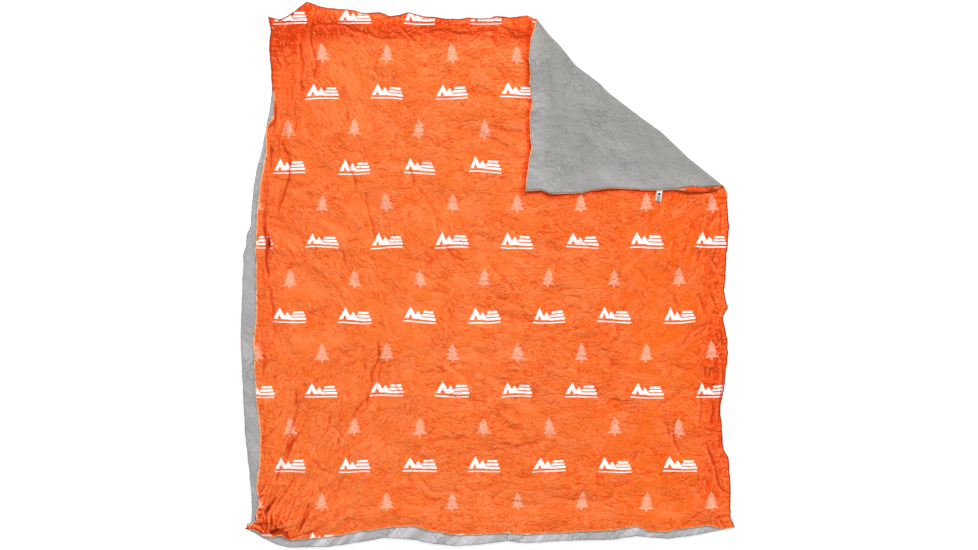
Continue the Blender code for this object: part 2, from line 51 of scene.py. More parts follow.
# The outline as it lies, in cm from the middle: x, y and, where there is a third number,
# how wide the rolled back shows there. The hems give the place along the edge and the width alone.
outlineRows = {
    "top": [
        (-66.0, 77.4), (-64.6, 76.9), (-62.8, 76.4), (-61.0, 77.1), (-59.1, 78.4), (-54.3, 81.9),
        (-50.4, 80.4), (-42.3, 79.5), (-36.6, 78.5), (-32.4, 78.8), (-29.1, 77.5), (-23.7, 78.6),
        (-19.2, 77.5), (-9.6, 76.5), (-5.4, 77.0), (0, 76.6), (2.4, 77.5), (7.2, 77.1), (11.4, 77.7),
        (14.4, 77.0),
    ],
    "right": [
        (71.4, 25.9), (71.7, 25.3), (72.0, 18.1), (72.6, 13.9), (71.7, 7.3), (71.4, -1.1), (70.8, -5.5),
        (72.0, -10.0), (70.5, -13.0), (72.0, -20.2), (71.7, -27.4), (70.8, -34.6), (69.9, -40.0),
        (70.2, -47.2), (70.8, -52.6), (72.3, -55.0), (72.9, -64.6), (72.9, -73.0), (74.1, -76.0),
    ],
    "bottom": [
        (-72.9, -76.3, 0), (-67.8, -79.0, 0.6), (-63.0, -81.1, 2.7), (-59.4, -81.9, 2.5),
        (-48.9, -81.8, 2.6), (-40.8, -80.7, 3.0), (-30.9, -79.0, 2.9), (-22.8, -79.6, 3.9),
        (-15.3, -81.0, 3.6), (-9.0, -81.5, 3.1), (-1.8, -81.0, 2.9), (6.0, -80.0, 2.4), (11.1, -80.7, 2.4),
        (21.6, -80.0, 2.4), (37.2, -79.6, 2.7), (44.4, -78.5, 2.9), (48.6, -78.9, 1.5), (54.3, -79.3, 2.1),
        (60.6, -78.5, 2.4), (66.0, -77.5, 2.1), (70.2, -76.8, 0.3), (74.1, -76.0, 0),
    ],
    "left": [
        (-72.9, -76.3, 0), (-71.1, -74.0, 0.1), (-70.8, -69.5, 1.2), (-71.1, -64.0, 1.6),
        (-71.8, -56.2, 3.3), (-72.8, -47.9, 4.5), (-73.3, -38.5, 3.8), (-74.1, -21.1, 3.6),
        (-74.1, -14.9, 4.3), (-73.6, -3.2, 4.0), (-73.35, 2.6, 3.7), (-73.4, 6.2, 3.6), (-72.5, 8.6, 2.9),
        (-72.3, 12.2, 2.5), (-71.1, 14.7, 1.7), (-71.0, 18.1, 1.6), (-70.2, 26.6, 1.7), (-69.3, 31.9, 1.9),
        (-67.5, 38.5, 0.8), (-66.3, 45.8, 0.3), (-65.4, 51.1, 0.1), (-64.9, 56.0, 0), (-64.9, 60.5, 0),
        (-65.5, 64.7, 0), (-65.6, 70.0, 0), (-65.1, 72.8, 0), (-66.0, 77.4, 0),
    ],
    "bottomHem": [
        (-72.9, 0), (-72.4, 0.1), (-71.0, 0.6), (-69.6, 1.25), (-68.7, 0.8), (-67.0, 0.45), (-64.8, 1.4),
        (-63.2, 2.7), (-62.0, 3.2), (-61.0, 2.5), (-59.6, 2.05), (-58.0, 2.2), (-55.5, 2.3), (-52.0, 2.5),
        (-48.9, 2.75), (-40.8, 3.0), (-30.9, 2.9), (-22.8, 3.9), (-15.3, 3.6), (-9.0, 3.1), (-1.8, 2.9),
        (6.0, 2.4), (11.1, 2.4), (21.6, 2.4), (37.2, 2.7), (44.4, 2.9), (48.6, 1.5), (54.3, 2.1),
        (60.6, 2.4), (66.0, 2.1), (70.2, 0.3), (74.1, 0),
    ],
    "leftHem": [
        (-76.3, 0), (-75.8, 0.15), (-75.0, 0.5), (-74.3, 1.6), (-73.0, 1.85), (-72.1, 1.2), (-71.0, 1.25),
        (-70.3, 2.0), (-69.1, 2.15), (-67.7, 1.7), (-66.9, 2.4), (-65.8, 1.7), (-64.0, 1.6), (-56.2, 3.3),
        (-47.9, 4.5), (-38.5, 3.8), (-21.1, 3.6), (-14.9, 4.3), (-3.2, 4.0), (2.6, 3.7), (6.2, 3.6),
        (8.6, 2.8), (12.2, 2.5), (14.7, 1.6), (18.1, 1.6), (26.6, 1.7), (31.9, 1.9), (36.5, 1.3),
        (38.5, 0.85), (43.0, 0.3), (44.6, 0.2), (46.8, 1.45), (48.3, 1.6), (52.5, 1.0), (55.5, 0.3),
        (58.3, 0), (70.0, 0), (77.4, 0),
    ],
    "flapSide": [
        (13.2, 71.0), (12.6, 65.0), (13.0, 60.4), (12.6, 57.4), (13.2, 51.1), (12.6, 47.5), (12.6, 40.9),
        (13.2, 38.2), (12.0, 32.9), (11.1, 24.8),
    ],
    "flapFoot": [
        (11.1, 24.8), (15.6, 25.3), (19.5, 24.0), (27.6, 24.3), (30.9, 25.2), (37.2, 25.8), (48.6, 25.2),
        (56.4, 25.6), (60.6, 26.3), (67.2, 26.3),
    ],
}
edgeLook = {
    "soften": 4 * mm,
    "scallop": 0.6 * mm,
    "scallopPitch": 26 * mm,
    "scallopFade": 30 * mm,
    "centring": (-0.2 * mm, 0.65 * mm),
}
stack = {
    "thickness": 0.8 * mm,
    "foot": 0.5 * mm,  # from the floor to the middle of the lowest layer
    "seamStep": 2.4 * mm,  # between the middles of the two layers, at a seam
    "layerStep": 3.2 * mm,  # the same, away from the seams
    "seamInset": 3 * mm,
    "stripInset": 17 * mm,  # the face shows past the back along one stretch of the turned corner
    "strip": (0.565, 0.60, 0.675, 0.70),
    "edgeEase": 50 * mm,
    "puff": 5.3 * mm,
    "puffLeast": 0.4 * mm,
    "underEase": 80 * mm,
    "cutScale": 1.027,  # the crumple draws the cloth in by this much
}
turn = {
    "radius": 6 * mm,
    "cuts": 8,
    "fade": 200 * mm,
    "ease": 70 * mm,
    "lift": 2 * mm,
    "bow": [
        (0, 0), (6.7, 1.2), (11, 1.4), (18.5, 2.7), (27.5, 1.9), (31, 2.2), (43, 1.3),
        (51, 0.4), (62, 0.8), (76.5, 0),
    ],
}
roll = {
    "radius": 1.8 * mm,
    "growth": 0.11,
    "full": 30 * mm,
    "lap": 15 * mm,
    "ease": 90 * mm,
    "aroundCuts": 9,
    "lapCuts": 6,
    "ridge": 0.9 * mm,
    "slant": 3 * mm,
    "tuck": 1.6 * mm,  # how far the roll moves in where it is narrow
}
corner = {  # the gathered lower left one
    "spot": (-0.655, -0.76),
    "reach": 9 * cm,
    "height": 5.5 * mm,
    "ease": 8 * mm,
    "tip": (-0.728, -0.763),
    "shadeSpot": (-0.66, -0.755),
    "shadeReach": 8 * cm,
    "finer": (-0.575, -0.655),  # the cloth below and left of here gets more faces
    "finest": (-0.61, -0.70),
    "fineFolds": 34,
    "foldsFrom": (-0.70, -0.79),
}
swells = [(1.6, 210, 28, 0.4), (1.3, 160, 96, 1.9), (1.2, 125, 151, 4.1), (0.9, 105, 62, 2.7)]

# The creases that show most: depth and width, then the places each runs through, all in mm.
faceCreases = [
    (7, 9, -641, 524, -640, 485, -639, 467, -642, 425), (6, 8, -648, 395, -650, 365, -652, 310),
    (5, 8, -662, 295, -660, 260, -664, 205),
    (7, 10, -667, 205, -669, 165, -667, 128, -665, 89, -664, 38, -654, -8), (6, 7, -658, 125, -654, 76),
    (5, 9, -656, -30, -646, -90, -644, -150, -637, -200),
    (5, 11, -577, 520, -579, 473, -581, 440, -592, 410),
    (7, 12, -616, 395, -606, 364, -598, 337, -598, 290, -612, 240, -625, 195),
    (3.5, 8, -615, 465, -624, 410, -629, 360), (3.5, 8, -600, 455, -610, 410),
    (3.5, 8, -623, 260, -625, 210, -624, 165), (3, 7, -652, 83, -632, 62, -550, 52),
    # across the upper left
    (7, 9, -564, 700, -563, 660, -560, 610, -553, 570, -552, 540),
    (7, 9, -530, 755, -529, 700, -522, 670, -520, 620, -517, 580), (4, 8, -606, 646, -590, 665, -570, 660),
    (3.5, 8, -589, 565, -586, 538, -590, 510), (4, 8, -646, 670, -628, 642, -616, 616),
    (4, 9, -648, 745, -564, 772),
    (7, 11, -540, 738, -505, 752, -455, 752, -424, 746, -402, 724, -350, 720, -290, 710),
    (5, 9, -414, 720, -396, 694, -380, 680), (4, 10, -500, 690, -470, 666, -454, 644),
    (4, 9, -437, 642, -422, 610, -412, 580), (4, 8, -340, 628, -325, 604, -300, 586),
    (4.5, 8, -310, 716, -260, 706, -220, 704), (4.5, 8, -256, 746, -236, 716, -210, 708),
    (4, 7, -220, 684, -170, 682, -140, 676), (4, 8, -180, 642, -130, 658, -116, 682),
    (6, 9, -200, 724, -146, 736, -100, 726, -50, 722, 0, 736), (4, 7, -120, 750, -60, 748, -10, 744),
    (5, 8, -50, 706, -20, 724, 30, 728), (6, 9, 20, 762, 44, 738, 68, 716), (5, 9, 64, 712, 126, 720),
    (4, 9, 4, 710, 26, 686, 46, 672), (4, 8, -144, 582, -124, 600, -100, 600), (3, 8, -30, 636, -10, 618),
    (3, 8, 20, 624, 46, 588, 66, 584), (5, 9, -426, 572, -424, 500, -426, 440),
    (4, 8, -351, 462, -344, 420), (4, 9, -276, 508, -250, 514, -230, 494),
    (3.5, 9, -202, 494, -152, 522, -100, 530), (4.5, 8, -280, 420, -272, 364),
    (3.5, 7, -180, 408, -152, 386, -110, 370),
    # across the middle, left to right
    (6, 11, -422, 352, -404, 306, -392, 254), (4, 8, -392, 316, -344, 334, -304, 328),
    (4.5, 9, -254, 346, -228, 298, -222, 252), (4, 8, -226, 328, -168, 336),
    (3.5, 8, -419, 220, -408, 244, -386, 249, -372, 224),
    (7, 13, -364, 246, -358, 200, -352, 160, -346, 126, -336, 98), (4, 8, -424, 90, -402, 98, -382, 109),
    (3.5, 8, -402, 129, -382, 143, -360, 146), (5.5, 9, -448, 74, -432, 64, -429, 35, -422, 14, -410, -5),
    (3.5, 13, -410, -5, -384, -25, -348, -35), (4, 8, -565, 116, -551, 94),
    (4, 8, -466, -30, -453, -52, -440, -70, -428, -99), (4, 8, -499, -108, -492, -136),
    (3, 8, -376, 66, -346, 40, -330, 14), (4.5, 9, -246, 12, -205, 4, -165, -15, -120, -14),
    (3, 7, -260, 49, -200, 42, -160, 36), (3.5, 7, -222, -18, -212, -46),
    (3.5, 11, -214, 250, -186, 236, -166, 204, -154, 160, -144, 108),
    (5.5, 12, -128, 93, -115, 70, -93, 50, -74, 38, -52, 18), (3.5, 7, -185, -48, -150, -53, -110, -60),
    (3.5, 8, -166, -130, -144, -152, -116, -174), (4.5, 8, -38, 120, -15, 112, 4, 97, 26, 91, 68, 96),
    (3.5, 13, 74, 89, 95, 72, 130, 58, 156, 42), (4, 8, 14, 33, 25, 12, 46, -6),
    (4.5, 9, 32, -10, 55, -24, 77, -42), (3.5, 8, 0, -50, 35, -68, 75, -82),
    (4, 8, 14, -85, 23, -105, 37, -127, 85, -136, 130, -144, 170, -146),
    (3.5, 7, -35, -88, 0, -103, 22, -110), (4.5, 8, 164, -47, 200, -53, 220, -80, 240, -84),
    (3.5, 7, 204, -49, 230, -43, 256, -40), (3.5, 8, 148, 132, 175, 123, 198, 125),
    (3.5, 7, 162, 89, 200, 80, 230, 67), (3.5, 8, 260, 100, 290, 93, 312, 68), (3.5, 8, 304, 83, 342, 64),
    (4, 9, 270, 50, 284, 28, 309, 11), (3.5, 9, 40, 182, 62, 168, 96, 158), (3.5, 8, 336, 204, 348, 182),
    (4, 8, 451, 12, 465, -10, 482, -28), (3.5, 8, 454, -60, 476, -76),
    (3.5, 8, 380, -100, 383, -140, 392, -196), (4, 7, 358, -207, 397, -198),
    (4, 8, 557, -54, 563, -92, 575, -132), (3.5, 9, 531, 38, 582, 10, 600, -30),
    (5.5, 8, 630, -60, 638, -90, 647, -120), (5.5, 8, 664, -58, 676, -80, 690, -104),
    (6, 9, 598, -178, 620, -164, 650, -154, 670, -154), (5, 8, 616, -190, 640, -170, 656, -158),
    (4, 8, 598, -180, 593, -198, 580, -214), (4, 8, 623, -248, 642, -223),
    (4.5, 8, 556, -265, 580, -278, 612, -292), (3.5, 8, 368, -286, 398, -270),
    # down the lower left
    (8, 10, -574, -352, -573, -400, -578, -445, -592, -470, -598, -510, -610, -545, -635, -628),
    (7, 9, -592, -476, -584, -500, -600, -540, -614, -588), (5, 8, -538, -448, -565, -474, -603, -526),
    (5.5, 8, -626, -456, -650, -478, -678, -493), (4, 8, -658, -499, -682, -517),
    (7, 10, -334, -196, -332, -255, -350, -300, -352, -345, -360, -395),
    (5.5, 8, -322, -258, -321, -285, -332, -320, -342, -380),
    (5.5, 8, -360, -376, -384, -398, -400, -420, -414, -438),
    (4.5, 9, -450, -210, -435, -230, -420, -244, -403, -245), (4, 8, -378, -253, -373, -275, -367, -288),
    (5, 9, -484, -423, -474, -446, -485, -465, -502, -498), (4, 8, -470, -452, -445, -465, -429, -484),
    (4, 8, -443, -488, -450, -517), (4, 8, -423, -353, -417, -380), (4, 8, -349, -509, -372, -532),
    (4, 8, -543, -323, -539, -353), (3.5, 8, -652, -256, -674, -287),
    (4, 8, -286, -323, -270, -350, -254, -361), (4, 8, -460, -594, -506, -582, -534, -550),
    (4, 9, -424, -600, -446, -628), (4.5, 9, -468, -742, -555, -785), (4, 10, -444, -736, -350, -750),
    (5, 8, -633, -665, -666, -725), (6, 9, -528, -685, -570, -770),
    # along the lower middle and right
    (5, 8, 28, -412, 27, -430, 10, -450), (5, 8, 79, -381, 98, -380),
    (3.5, 7, 138, -332, 139, -365, 136, -398), (4.5, 7, 45, -506, 74, -508),
    (4.5, 8, -14, -528, 25, -524, 52, -521), (4.5, 8, 76, -530, 105, -510, 140, -501, 168, -498),
    (4, 7, 53, -454, 80, -457, 103, -466), (4, 8, -200, -486, -170, -470, -146, -446),
    (4, 8, -150, -490, -110, -491, -68, -487), (5, 8, 10, -674, 35, -655, 62, -639),
    (4, 8, -57, -655, -20, -642, 15, -632, 52, -625),
    (4, 8, -212, -608, -180, -630, -158, -650, -100, -652, -60, -660),
    (5, 8, -170, -669, -152, -681, -136, -669),
    (6, 9, 174, -684, 190, -669, 210, -666, 244, -677, 294, -681, 340, -676, 389, -654),
    (4, 8, -239, -603, -227, -633), (4, 8, 138, -572, 160, -555, 180, -535, 207, -519),
    (4, 9, 106, -593, 105, -627), (4, 8, -207, -549, -168, -566), (3.5, 8, -100, -388, -60, -397),
    (5, 8, -234, -742, -202, -745), (4.5, 8, 180, -764, 214, -757), (4, 7, -104, -719, -68, -721),
    (4.5, 8, 386, -640, 424, -623, 452, -606), (4, 8, 256, -562, 286, -552), (4, 8, 430, -560, 452, -533),
    (5.5, 8, 553, -438, 570, -515, 593, -554), (4, 8, 506, -412, 528, -384, 576, -342),
    (4, 8, 527, -438, 550, -490), (4, 8, 505, -649, 550, -666), (4.5, 9, 573, -761, 611, -733, 645, -710),
    (7, 10, 638, -340, 641, -390, 640, -444), (6, 9, 674, -380, 674, -454),
    (8, 11, 652, -506, 679, -577, 705, -639, 722, -658), (5, 8, 688, -725, 718, -760),
    (6, 10, 696, -480, 694, -524),
]
flapCreases = [
    (4, 13, 192, 644, 192, 480), (3.5, 12, 267, 608, 222, 524), (3.5, 12, 179, 374, 177, 314),
    (3.5, 12, 276, 374, 290, 290), (4, 14, 440, 335, 520, 275), (3, 12, 300, 490, 330, 435),
    (3, 14, 240, 330, 305, 400),
]
# The gathered corner: raised folds where the height is positive, and sharp valleys where it isn't.
cornerFolds = [
    (6, 6, -717, -758, -696, -757, -675, -770, -664, -786), (-6, 4, -704, -747, -683, -751, -669, -768),
    (7, 5, -659, -724, -656, -754, -662, -784), (-5, 4, -649, -720, -650, -759),
    (4, 5, -640, -723, -641, -754), (-7, 11, -652, -779, -626, -763), (5, 6, -624, -727, -598, -760),
    (7, 7, -613, -765, -593, -792), (-4, 3, -606, -784, -598, -769), (-6, 5, -671, -717, -634, -668),
    (-5, 7, -573, -784, -529, -702), (-4, 5, -563, -781, -518, -772), (4, 6, -586, -776, -559, -710),
    (3, 6, -629, -752, -609, -695), (4, 5, -666, -734, -677, -702), (4, 5, -694, -735, -684, -710),
    (3, 7, -550, -786, -460, -746), (-3, 6, -548, -760, -486, -702), (-4, 4, -689, -670, -668, -662),
    (-4, 4, -692, -706, -674, -709), (-4, 6, -684, -660, -660, -615), (-3, 7, -638, -696, -582, -618),
    (-3, 6, -510, -790, -445, -764), (-3, 5, -604, -746, -572, -660),
]
# Folds along the side hems, in the same way
hemFolds = [
    (4, 8, -670, 340, -678, 280, -685, 220, -689, 150, -688, 80, -687, 10, -682, -60),
    (-5, 5, -664, 220, -668, 165, -667, 128, -665, 89, -664, 38, -654, -8), (-4, 5, -659, 122, -655, 74),
    (-4, 5, -649, 380, -651, 315), (-5, 5, -642, 520, -639, 468, -643, 432), (4, 6, -653, 465, -656, 425),
    (-3, 4, -665, 460, -652, 478, -642, 486), (3, 6, -662, 410, -664, 330), (-3, 5, -670, 285, -673, 205),
    (-3, 5, -682, -140, -670, -240, -675, -330), (3, 7, -686, -160, -690, -280, -684, -400),
    (-3, 5, -668, -420, -674, -520), (3, 7, 692, -220, 696, -320, 684, -460),
    (-6, 7, 696, -164, 701, -185, 703, -214), (-5, 6, 685, -176, 695, -208), (-5, 8, 670, -111, 696, -121),
    (-5, 7, 648, -274, 654, -316), (-5, 6, 669, -278, 661, -314),
    (-5, 6, 706, -272, 703, -330, 693, -390, 692, -450), (3, 6, 706, -580, 714, -680),
    (-5, 8, 682, 72, 673, 40, 691, 16), (3, 6, 702, 80, 696, -40), (-4, 6, 627, 32, 634, 69),
    (-3, 5, 699, 200, 696, 120),
]
# The darkest hollows there, as painted shade: x, y, reaches in cm, turn in degrees, amount.
cornerShades = [
    (-63.2, -77.1, 2.3, 1.1, 12, 1.1), (-72.7, -76.4, 0.9, 0.6, 0, 2.2), (-68.8, -67.3, 0.9, 0.5, 50, 1.3),
    (-69.5, -71.0, 0.6, 0.35, 20, 0.7), (-67.2, -74.6, 1.5, 0.45, 0, 1.0),
    (-60.0, -78.2, 0.5, 1.4, 20, 0.9), (-66.0, -70.6, 0.7, 1.4, -35, 0.6),
    (-57.6, -78.6, 1.6, 0.4, 15, 0.6), (-65.0, 44.9, 1.3, 0.6, 55, 0.8), (-66.9, 13.0, 0.5, 2.5, 0, 0.5),
    (-65.6, 9.6, 0.35, 1.6, 0, 0.9),
]
# Which way the crumple runs: x, y and reach in cm, heading and spread in degrees.
crumpleGrain = [
    (-7, 61, 25, -5, 16), (-62, 60, 13, 85, 20), (-36, 57, 15, -50, 28), (-12, 33, 24, -14, 20),
    (-68, 0, 8, 92, 14), (-50, 5, 18, -35, 30), (-26, 3, 20, -45, 24), (15, -2, 26, -14, 24),
    (52, -5, 17, 60, 45), (70, -20, 7, 90, 14), (70, -60, 8, 88, 18), (-60, -55, 15, 60, 20),
    (-33, -42, 17, 50, 28), (-65, -72, 8, 70, 24), (-5, -62, 26, 5, 24), (4, -34, 20, -20, 28),
    (45, -50, 24, 10, 34),
]
# Painted shade on the face, and painted light (above zero) and shade (below zero) on the turned corner: x,
# y, reaches along and across in cm, turn, amount.
faceTones = [
    (-61, 74.5, 11, 8, 12, 1.0), (-66, 64, 2.5, 13, 0, 0.7), (-59, 64, 9, 13, 0, 0.3),
    (-47, 73.4, 8, 2.8, 0, 0.9), (-16, 73.0, 30, 3.0, 0, 0.95), (-30, 76.6, 46, 3.4, -1, 0.45),
    (9.4, 71.6, 5, 2, 0, 0.9), (-58, 40, 11, 36, 0, 0.15), (68, 0, 7, 90, 0, 0.3),
    (50, -30, 30, 60, 0, 0.12), (45, 16, 40, 14, 0, 0.12), (-67, -72, 8, 9, 0, 0.25),
    (-66, 10, 4, 40, 0, 0.2), (69, -20, 2.5, 8, 0, 0.4), (67, -34, 4, 14, 0, 0.35),
    (68, -58, 4, 12, -15, 0.35),
]
flapTones = [
    (14, 46, 4, 30, 0, 0.14), (40, 27, 36, 6, 0, 0.07), (46, 47, 40, 6, -42, -0.1),
]
crumple = {
    "cell": 2 * mm,  # of the height maps
    "facets": [(74 * mm, 2.3, 3.6 * mm), (33 * mm, 2.0, 1.35 * mm)],  # size, stretch, height
    "folds": (620, (50, 210), (1.0, 3.0), (6, 15)),  # how many; length, depth and width in mm
    "wrinkles": (6500, (18, 70), (0.25, 0.75), (3.5, 7)),
    "raised": 0.35,  # the share that stands up
    "wander": [(40 * mm, 3.0 * mm), (13 * mm, 0.8 * mm)],
    "sheetArea": 2.4,
    "reach": 3.5,  # widths past which a crease no longer counts
    "curveStep": 2 * mm,
    "curveSoft": 0.8 * mm,
    "table": 61,
}


def ease(share):
    share = np.clip(share, 0, 1)
    return share * share * (3 - 2 * share)


def bell(count, width):
    return np.exp(-0.5 * (np.arange(-count, count + 1) / width) ** 2)


def softened(values, width):
    # Gaussian smoothing of an evenly spaced line that keeps its two ends
    count = int(4 * width) + 1
    kernel = bell(count, width)
    before = 2 * values[0] - values[count:0:-1]
    after = 2 * values[-1] - values[-2:-count - 2:-1]
    return np.convolve(np.concatenate([before, values, after]), kernel / kernel.sum(), mode="valid")


def softNoise(count, width):
    # smooth uneven values of spread 1
    line = np.convolve(chance.standard_normal(count + 8 * width), bell(4 * width, width), mode="valid")
    return line / line.std()


def edgeReader(rows, along, value, scallop=0):
    # a function from a place along an edge to one column of its rows, with the cloth's fine scallops
    step = 1 * mm
    rows = sorted(rows, key=lambda row: row[along])
    places = np.array([row[along] for row in rows]) * cm
    values = np.array([row[value] for row in rows]) * cm
    fine = np.arange(places[0], places[-1] + step, step)
    line = softened(np.interp(fine, places, values), edgeLook["soften"] / step)
    if scallop:
        pitch = edgeLook["scallopPitch"] / step
        near = np.minimum(fine - fine[0], fine[-1] - fine) / edgeLook["scallopFade"]
        wave = softNoise(len(fine), int(pitch / 5)) + 0.8 * softNoise(len(fine), int(pitch / 1.7))
        line = line + scallop * wave * ease(near)
    return lambda at: np.interp(at, fine, line)


# The bend's own frame: along it, and out towards the corner that is turned over.
bendStart = np.array(outlineRows["top"][-1]) * cm
bendEnd = np.array(outlineRows["right"][0]) * cm
alongBend = (bendEnd - bendStart) / np.linalg.norm(bendEnd - bendStart)
outOfBend = np.array([-alongBend[1], alongBend[0]])
bendAxis = bendStart - outOfBend * turn["radius"]
halfTurn = math.pi * turn["radius"]
inwardBow = edgeReader(turn["bow"], 0, 1)


def fromBend(x, y):
    dx, dy = x - bendAxis[0], y - bendAxis[1]
    return dx * alongBend[0] + dy * alongBend[1], dx * outOfBend[0] + dy * outOfBend[1]


def atBend(along, out):
    return [bendAxis[axis] + alongBend[axis] * along + outOfBend[axis] * out for axis in (0, 1)]


def openedLanding(x, y):
    # from a place on the turned corner to where it lies with the corner opened out, and back
    along, out = fromBend(x, y)
    return atBend(along, halfTurn - out)


def openedRow(row):
    x, y = openedLanding(row[0] * cm, row[1] * cm)
    return x / cm, y / cm


scallop = edgeLook["scallop"]
topRows = outlineRows["top"] + [openedRow(row) for row in outlineRows["flapSide"]]
rightRows = outlineRows["right"] + [openedRow(row) for row in outlineRows["flapFoot"]]
leftX = edgeReader(outlineRows["left"], 1, 0, 0.6 * scallop)
leftRoll = edgeReader(outlineRows["left"], 1, 2)
bottomY = edgeReader(outlineRows["bottom"], 0, 1, 0.6 * scallop)
bottomRoll = edgeReader(outlineRows["bottom"], 0, 2)
topY = edgeReader(topRows, 0, 1, scallop)
rightX = edgeReader(rightRows, 1, 0, scallop)
flapSideX = edgeReader(outlineRows["flapSide"], 1, 0)
flapFootY = edgeReader(outlineRows["flapFoot"], 0, 1)
leftHem = edgeReader(outlineRows["leftHem"], 0, 1, 0.8 * scallop)
bottomHem = edgeReader(outlineRows["bottomHem"], 0, 1, 0.8 * scallop)


def rollRadius(width):
    return roll["radius"] + roll["growth"] * np.clip(width, 0, roll["full"])


def stripAt(y):
    # how much of the stretch past the turned corner's foot belongs to a height of the flat plan
    x = openedLanding(rightX(y), y)[0]
    low, full, stop, end = stack["strip"]
    return ease((x - low) / (full - low)) * ease((end - x) / (end - stop))


def faceRight(y):
    far = ease((fromBend(rightX(y), y)[1] - halfTurn) / (5 * mm))
    return rightX(y) + (stack["stripInset"] - stack["seamInset"]) * stripAt(y) * far


faceEdges = {
    "left": lambda y: leftX(y) + np.maximum(leftHem(y), 0),
    "bottom": lambda x: bottomY(x) + np.maximum(bottomHem(x), 0),
    "top": topY,
    "right": faceRight,
}
backEdges = {
    "left": lambda y: leftX(y) + rollRadius(leftRoll(y)),
    "bottom": lambda x: bottomY(x) + rollRadius(bottomRoll(x)),
    "top": lambda x: topY(x) - stack["seamInset"],
    "right": lambda y: rightX(y) - stack["seamInset"],
}


def meeting(side, level, start):
    # where an upright and a level edge cross
    y = start * cm
    for _ in range(8):
        x = side(y)
        y = level(x)
    return np.array([x, y])


def planOf(edges, u, v):
    # from shares across and up a sheet to its flat plan
    lowLeft = meeting(edges["left"], edges["bottom"], outlineRows["left"][0][1])
    lowRight = meeting(edges["right"], edges["bottom"], outlineRows["right"][-1][1])
    topLeft = meeting(edges["left"], edges["top"], outlineRows["left"][-1][1])
    topRight = meeting(edges["right"], edges["top"], openedRow(outlineRows["flapSide"][-1])[1])
    lowX = lowLeft[0] + (lowRight[0] - lowLeft[0]) * u
    highX = topLeft[0] + (topRight[0] - topLeft[0]) * u
    leftY = lowLeft[1] + (topLeft[1] - lowLeft[1]) * v
    rightY = lowRight[1] + (topRight[1] - lowRight[1]) * v
    shared = [
        (lowLeft[axis] * (1 - u) + lowRight[axis] * u) * (1 - v)
        + (topLeft[axis] * (1 - u) + topRight[axis] * u) * v
        for axis in range(2)
    ]
    x = lowX * (1 - v) + highX * v + edges["left"](leftY) * (1 - u) + edges["right"](rightY) * u
    y = edges["bottom"](lowX) * (1 - v) + edges["top"](highX) * v + leftY * (1 - u) + rightY * u
    return x - shared[0], y - shared[1]


# Height maps: a grid of heights over the plan that creases are pressed into.
def heightMap(x0=-0.78, y0=-0.86, x1=0.78, y1=0.86):
    xs = np.arange(x0, x1, crumple["cell"])
    ys = np.arange(y0, y1, crumple["cell"])
    blank = np.zeros((len(ys), len(xs)))
    return {"x0": x0, "y0": y0, "xs": xs, "ys": ys, "heights": blank, "lines": blank.copy()}


def softField(shape, width):
    # a smooth uneven field of spread 1, by filtering noise
    tall = np.fft.fftfreq(shape[0])[:, None]
    wide = np.fft.rfftfreq(shape[1])[None, :]
    keep = np.exp(-2 * (math.pi * width) ** 2 * (tall**2 + wide**2))
    field = np.fft.irfft2(np.fft.rfft2(chance.standard_normal(shape)) * keep, s=shape)
    return field / field.std()


def readMap(field, chart, x, y):
    # bilinear reading of a field that lies on a chart's grid
    column = np.clip((x - chart["x0"]) / crumple["cell"], 0, len(chart["xs"]) - 1.001)
    row = np.clip((y - chart["y0"]) / crumple["cell"], 0, len(chart["ys"]) - 1.001)
    c, r = column.astype(int), row.astype(int)
    dc, dr = column - c, row - r
    low = field[r, c] * (1 - dc) + field[r, c + 1] * dc
    high = field[r + 1, c] * (1 - dc) + field[r + 1, c + 1] * dc
    return low * (1 - dr) + high * dr


def windowOf(chart, spots, reach):
    # the columns and rows of a chart that lie within reach of some places
    spans = []
    for line, start in zip(spots, (chart["x0"], chart["y0"])):
        first = int((min(line) - reach - start) / crumple["cell"])
        last = int((max(line) + reach - start) / crumple["cell"]) + 2
        spans.append(slice(max(first, 0), max(last, 0)))
    return spans


def pressValley(layer, window, off, depth, width, steep, soft):
    # takes a sharp-bottomed valley out of one window, steeper on one side
    away = np.sqrt(off**2 + soft**2) - soft
    layer[window[1], window[0]] -= depth * np.exp(-away / np.where(off > 0, width, steep))


def pressCrease(chart, ends, depth, width, steep):
    # a straight crease that fades at both ends
    x0, y0, x1, y1 = ends
    length = math.hypot(x1 - x0, y1 - y0)
    window = windowOf(chart, ((x0, x1), (y0, y1)), crumple["reach"] * max(width, steep))
    dx = chart["xs"][window[0]] - x0
    dy = chart["ys"][window[1], None] - y0
    ux, uy = (x1 - x0) / length, (y1 - y0) / length
    share = (dx * ux + dy * uy) / length
    fade = ease((share + 0.12) / 0.35) * ease((1.12 - share) / 0.35)
    off = dy * ux - dx * uy
    pressValley(chart["heights"], window, off, depth * fade, width, steep, crumple["cell"])


def curveThrough(places):
    # evenly spaced places on a soft curve, and the way it runs at each
    points = np.reshape(places, (-1, 2)) / 10 * cm
    run = np.concatenate([[0], np.cumsum(np.hypot(*np.diff(points, axis=0).T))])
    fine = np.linspace(0, run[-1], int(run[-1] / crumple["curveStep"]) + 2)
    path = np.stack([np.interp(fine, run, points[:, axis]) for axis in (0, 1)])
    if len(points) > 2 and len(fine) > 15:
        path = np.stack([softened(line, 3) for line in path])
    ways = np.gradient(path, axis=1)
    return path, ways / np.hypot(*ways), run[-1]


